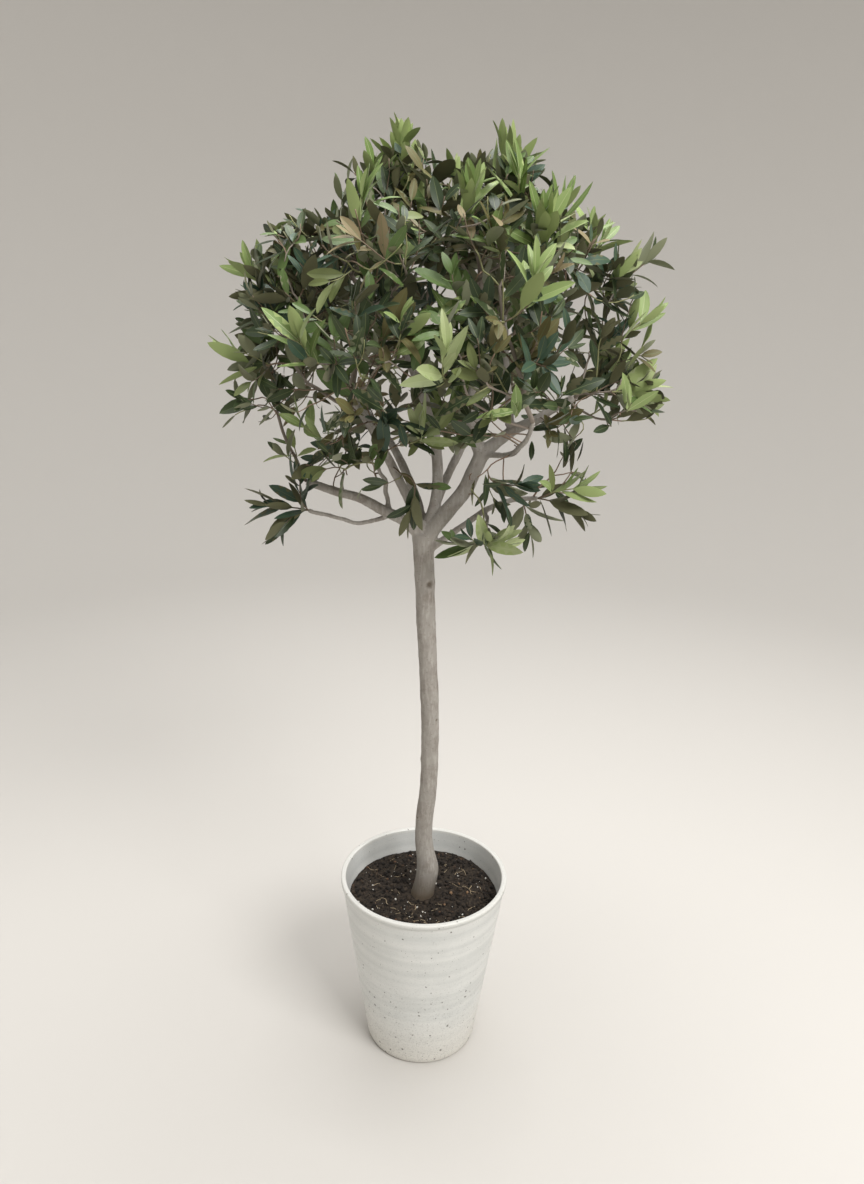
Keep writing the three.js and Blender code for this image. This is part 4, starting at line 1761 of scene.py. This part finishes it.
class LeafMaker:
    """Leaves in opposite pairs along the young twigs, each a closed blade with a midrib.

    A blade runs through stations from its stalk to its tip. At each station it has a left and a right
    edge, two sides of the midrib above, and one line below, so that the upper and lower sides are
    separate faces that meet at a sharp edge.
    """

    STATIONS = np.array([0.07, 0.2, 0.38, 0.58, 0.77, 0.91])
    MEAN_LENGTH = 36.5
    SHORTEST, LONGEST = 18, 58
    THICKNESS = 0.4 * MM
    # Heights that part the leaves into pieces.
    UPPER_FROM, MIDDLE_FROM = 0.99, 0.88

    def __init__(self, crown: Crown, lines: list[TwigLine]) -> None:
        """Keeps the crown's sizes and the twigs.

        Args:
            crown: the crown's sizes and random numbers.
            lines: the twigs.
        """
        self.crown = crown
        self.lines = lines
        self.draw = crown.draw
        self.template_faces, self.template_sides, self.template_rim = self._template()
        self.at = self._pairs()
        self.points, self.inside = self._corners(self.at)

    def leafy_lines(self) -> list[TwigLine]:
        """The shoots that keep at least two leaves."""
        count = np.bincount(self.at["line"][self.inside].astype(int), minlength=len(self.lines))
        return [line for line, leaves in zip(self.lines, count) if leaves > 1]

    def _template(self) -> tuple[Array, Array, Array]:
        """Faces of one leaf, the side each is on, and which corners lie on its edge.

        Corners are the stalk, then five for each station (left edge, left of the rib, right of the rib,
        right edge, below), then the tip.

        Returns:
            Triangles, sides (0 upper, 1 midrib, 2 lower), and marks.
        """
        count = len(self.STATIONS)
        tip = 1 + 5 * count
        faces, sides = [], []
        order = ((0, 1, 0), (1, 2, 1), (2, 3, 0), (3, 4, 2), (4, 0, 2))
        for i in range(count - 1):
            here, there = 1 + 5 * i, 1 + 5 * (i + 1)
            for a, b, side in order:
                faces += [(here + a, here + b, there + b), (here + a, there + b, there + a)]
                sides += [side, side]
        last = 1 + 5 * (count - 1)
        for a, b, side in order:
            faces += [(0, 1 + b, 1 + a), (tip, last + a, last + b)]
            sides += [side, side]
        rim = np.zeros(tip + 1, bool)
        rim[[0, tip]] = True
        rim[1::5][:count] = True
        rim[4::5][:count] = True
        return np.array(faces), np.array(sides), rim

    def _blades(self, size: dict[str, Array]) -> Array:
        """Corners of all leaves in their own frames: x across, y along, z up from the upper side.

        Half-width follows s^0.75 (1 - s)^0.8, scaled to 1 at its widest, where s runs from the end of
        the stalk to the tip. The two halves are folded up from the midrib, the blade curls along an arc,
        and it twists evenly along its length.

        Args:
            size: arrays of length, width, fold, curl, twist and thick, one number for each leaf.

        Returns:
            An array of leaves by corners by three.
        """
        t = self.STATIONS
        s = (t - 0.05) / 0.95
        swell = s**0.75 * (1 - s) ** 0.8
        swell = swell / (0.4839**0.75 * 0.5161**0.8)
        half = 0.5 * size["width"][:, None] * swell[None]
        rib = np.minimum(0.32 * MM * (1 - 0.6 * t)[None], 0.3 * half)
        across = np.stack([-half, -rib, rib, half, np.zeros_like(half)], 2)
        rise = np.abs(across) * size["fold"][:, None, None]
        rise[:, :, 4] -= size["thick"][:, None]
        body = np.stack([across, np.zeros_like(across), rise], 3)
        turn = size["twist"][:, None] * t[None]
        cos, sin = np.cos(turn)[:, :, None], np.sin(turn)[:, :, None]
        x = body[..., 0] * cos - body[..., 2] * sin
        z = body[..., 0] * sin + body[..., 2] * cos
        along = size["length"][:, None] * (t - (size["curl"][:, None] ** 2) * t**3 / 6)
        fall = -size["length"][:, None] * size["curl"][:, None] * t**2 / 2
        corners = np.stack([x, np.broadcast_to(along[:, :, None], x.shape), z + fall[:, :, None]], 3)
        count = len(size["length"])
        ends = np.zeros((count, 2, 3))
        ends[:, 1, 1] = size["length"] * (1 - size["curl"] ** 2 / 6)
        ends[:, 1, 2] = -size["length"] * size["curl"] / 2
        return np.concatenate([ends[:, :1], corners.reshape(count, -1, 3), ends[:, 1:]], 1)

    def _pairs(self) -> dict[str, Array]:
        """Where leaves stand: pairs from each shoot's tip down, each turned a quarter from the last.

        Returns:
            Arrays of stalk places, shoot directions, leaf directions, tones, age from 0 to 1, marks
            for young shoots and plumes, and the shoots' numbers.
        """
        rows: list[tuple] = []
        for number, line in enumerate(self.lines):
            travelled = line.travelled()
            total = travelled[-1]
            young = line.tone in FRESH_TONES
            height = smooth_step(0.78, 1.02, line.points[-1][2])
            fullness = 0.55 + 0.37 * height
            phase = self.draw.uniform(0, math.pi)
            spacing = self.draw.uniform(9.5, 14) * MM
            down, pair = 0.5 * MM, 0
            while down < total:
                here = total - down
                place = np.array([np.interp(here, travelled, line.points[:, i]) for i in range(3)])
                i = min(np.searchsorted(travelled, here), len(travelled) - 1)
                along = unit(line.points[i] - line.points[i - 1])
                age = min(down / (50 * MM), 1)
                side = sideways(along, phase + pair * math.pi / 2 + self.draw.normal(0, 0.25))
                for sign in (1, -1):
                    if pair > 0 and not line.plume and self.draw.random() > fullness * (1 - 0.25 * age):
                        continue
                    tone = line.tone.value
                    rows.append((place, along, side * sign, tone, age, young, line.plume, number))
                down += spacing * (0.5 if pair == 0 else 1)
                pair += 1
        names = ("place", "along", "side", "tone", "age", "young", "plume", "line")
        return {name: np.array(column, float) for name, column in zip(names, zip(*rows))}

    def _corners(self, at: dict[str, Array]) -> tuple[Array, Array]:
        """Sizes and aims every leaf, and puts its blade in place.

        A leaf leaves the twig at an angle that opens with age. Its upper side faces the twig's tip, the
        sky and the outside of the crown in turn, as far as each can be met.

        Args:
            at: what _pairs returns.

        Returns:
            Corners of every leaf, and which leaves stay inside the crown's box.
        """
        count = len(at["age"])
        draw = self.draw
        young = at["young"]
        plume = at["plume"]
        length = draw.normal(self.MEAN_LENGTH, 6, count) + 4 * young + 7 * plume
        length = length * (0.66 + 0.34 * smooth_step(0.0, 0.3, at["age"]))
        length = np.clip(length, self.SHORTEST, self.LONGEST) * MM
        size = {
            "length": length,
            "width": length * (draw.uniform(0.28, 0.37, count) - 0.03 * young - 0.03 * plume),
            "fold": draw.uniform(-0.08, 0.4, count),
            "curl": draw.normal(0.16, 0.3, count),
            "twist": draw.normal(0, 0.35, count),
            "thick": np.full(count, self.THICKNESS),
        }
        spread = 22 + 34 * np.sqrt(at["age"]) - 8 * plume
        open_angle = np.radians(spread + draw.normal(0, 11, count))[:, None]
        aim = at["along"] * np.cos(open_angle) + at["side"] * np.sin(open_angle)
        lean = (0.25 * young - 0.12 * at["age"])[:, None] * UP
        aim = unit(aim + lean + draw.normal(0, 0.16, (count, 3)))
        outward = unit((at["place"] - np.array(self.crown.middle)) / np.array(self.crown.half_width))
        face = 0.45 * at["along"] + 0.5 * UP + 0.55 * outward + draw.normal(0, 0.33, (count, 3))
        face = unit(face - aim * np.sum(face * aim, 1, keepdims=True))
        across = np.cross(aim, face)
        blades = self._blades(size)
        points = (
            at["place"][:, None]
            + blades[..., :1] * across[:, None]
            + blades[..., 1:2] * aim[:, None]
            + blades[..., 2:] * face[:, None]
        )
        low, high = np.array(CAD_BOX[0]) - 6 * MM, np.array(CAD_BOX[1]) + 4 * MM
        inside = ((points > low) & (points < high)).all(axis=(1, 2))
        tips = points[:, -1]
        reach_limit = self.crown.leaf_reach + self.crown.slack(tips) + 0.1 * young + plume
        inside &= self.crown.envelope.reach(tips) < reach_limit
        inside &= self.crown.outness(tips) < self.crown.globe_limit(tips) + 0.05 * young + plume
        return points, inside

    def build(self, masses: list[str]) -> list[bpy.types.Object]:
        """Makes the leaves, in pieces small enough to export whole.

        Args:
            masses: the CAD nodes they stand for.

        Returns:
            The finished pieces.
        """
        at, points, inside = self.at, self.points, self.inside
        tones = at["tone"].astype(int)
        fresh = np.isin(tones, [tone.value for tone in FRESH_TONES])
        finishes = [finish.make() for finish in (*UPPER_SIDES.values(), *MIDRIBS, *LOWER_SIDES)]
        rib = len(UPPER_SIDES) + fresh
        under = len(UPPER_SIDES) + len(MIDRIBS) + np.where(fresh, 2, tones % 2)
        by_side = np.stack([tones, rib, under], 1)
        height = at["place"][:, 2]
        groups = {
            "leaves_young": inside & fresh,
            "leaves_upper": inside & ~fresh & (height > self.UPPER_FROM),
            "leaves_middle": inside & ~fresh & (height <= self.UPPER_FROM) & (height > self.MIDDLE_FROM),
            "leaves_lower": inside & ~fresh & (height <= self.MIDDLE_FROM),
        }
        pieces = []
        for name, chosen in groups.items():
            kept = np.flatnonzero(chosen)
            corners = points.shape[1]
            faces = self.template_faces[None] + (np.arange(len(kept)) * corners)[:, None, None]
            finish = by_side[kept][:, self.template_sides]
            piece = mesh_piece(
                name,
                points[kept].reshape(-1, 3),
                faces.reshape(-1, 3),
                finishes,
                finish.ravel(),
                np.tile(self.template_rim, len(kept)),
            )
            LOG.info("%s: %d leaves", name, len(kept))
            pieces.append(dress(piece, masses))
        return pieces


# ----------------------------------------------------------------------------------------------- studio


@dataclass(frozen=True)
class SoftBox:
    """A square area light: its middle, its side in metres, its power in watts, and its colour."""

    name: str
    place: Triple
    size: float
    power: float
    colour: str

    def hang(self, target: Triple) -> None:
        """Hangs the lamp so that it faces a place.

        Args:
            target: the place.
        """
        lamp = bpy.data.lights.new(self.name, "AREA")
        lamp.shape = "SQUARE"
        lamp.size = self.size
        lamp.energy = self.power
        lamp.color = linear(self.colour)[:3]
        box = bpy.data.objects.new(self.name, lamp)
        box.location = self.place
        box.rotation_euler = (Vector(target) - Vector(self.place)).to_track_quat("-Z", "Y").to_euler()
        bpy.context.scene.collection.objects.link(box)


LAMPS = (
    SoftBox("key", (1.4, -1.75, 2.65), 1.3, 72, "#fffefd"),
    SoftBox("fill", (-1.5, -1.4, 1.5), 1.5, 1, "#fcfdff"),
    SoftBox("top", (0.1, 0.25, 2.8), 1.8, 58, "#fffefd"),
)


@dataclass
class Studio:
    """A pale seamless floor, soft lights, and the camera."""

    floor_colour: str = "#cbc8c3"
    floor_radius: float = 2.2
    wall_radius: float = 4.0
    wall_height: float = 4.7
    camera_place: Triple = (0.0027, -1.0363, 0.9809)
    camera_pitch: float = -17.89
    camera_roll: float = 1.26
    lens: float = 27.365
    sensor_width: float = 36
    lit_place: Triple = (0, 0, 0.75)
    air_colour: str = "#faf9f8"
    air_strength: float = 0.66
    floor_sides: int = 96

    def _floor(self) -> None:
        """A round floor that curves up into a wall: flat, then a quarter ellipse, then upright."""
        turn = np.linspace(0, math.pi / 2, 24)
        flat = np.linspace([0.05, 0.0], [self.floor_radius, 0.0], 12)[:-1]
        bend = self.wall_radius - self.floor_radius
        sweep = np.stack([self.floor_radius + bend * np.sin(turn), bend * (1 - np.cos(turn))], 1)
        wall = np.array([[self.wall_radius, self.wall_height]])
        ring = np.concatenate([flat, sweep, wall])
        sides = self.floor_sides
        points = ring_points(ring, sides)
        here = np.arange(sides)
        centre = np.stack([np.full(sides, len(points)), here, (here + 1) % sides], 1)
        faces = np.concatenate([grid_faces(len(ring), sides, closed=True)[:, ::-1], centre])
        paper = PlainFinish("seamless_paper", self.floor_colour, 0.9).make()
        floor = mesh_piece("studio_floor", np.concatenate([points, [[0, 0, 0]]]), faces, [paper])

    def build(self) -> None:
        """Makes floor, lights, surroundings and camera."""
        self._floor()
        for lamp in LAMPS:
            lamp.hang(self.lit_place)
        world = bpy.data.worlds.new("studio_air")
        world.use_nodes = True
        background = world.node_tree.nodes["Background"]
        background.inputs["Color"].default_value = linear(self.air_colour)
        background.inputs["Strength"].default_value = self.air_strength
        bpy.context.scene.world = world
        bpy.context.scene.view_settings.view_transform = "Standard"
        lens = bpy.data.cameras.new("camera")
        lens.lens = self.lens
        lens.sensor_width = self.sensor_width
        camera = bpy.data.objects.new("camera", lens)
        tilt = Matrix.Rotation(math.radians(90 + self.camera_pitch), 4, "X")
        roll = Matrix.Rotation(math.radians(self.camera_roll), 4, "Z")
        camera.matrix_world = Matrix.Translation(self.camera_place) @ tilt @ roll
        bpy.context.scene.collection.objects.link(camera)
        bpy.context.scene.camera = camera


def main() -> None:
    """Builds the plant from the floor up."""
    logging.basicConfig(level=logging.INFO, format="%(name)s %(message)s")
    Studio().build()
    Planter().build()
    Compost().build()
    Framework().build()
    Crown().build()


if __name__ == "__main__":
    main()
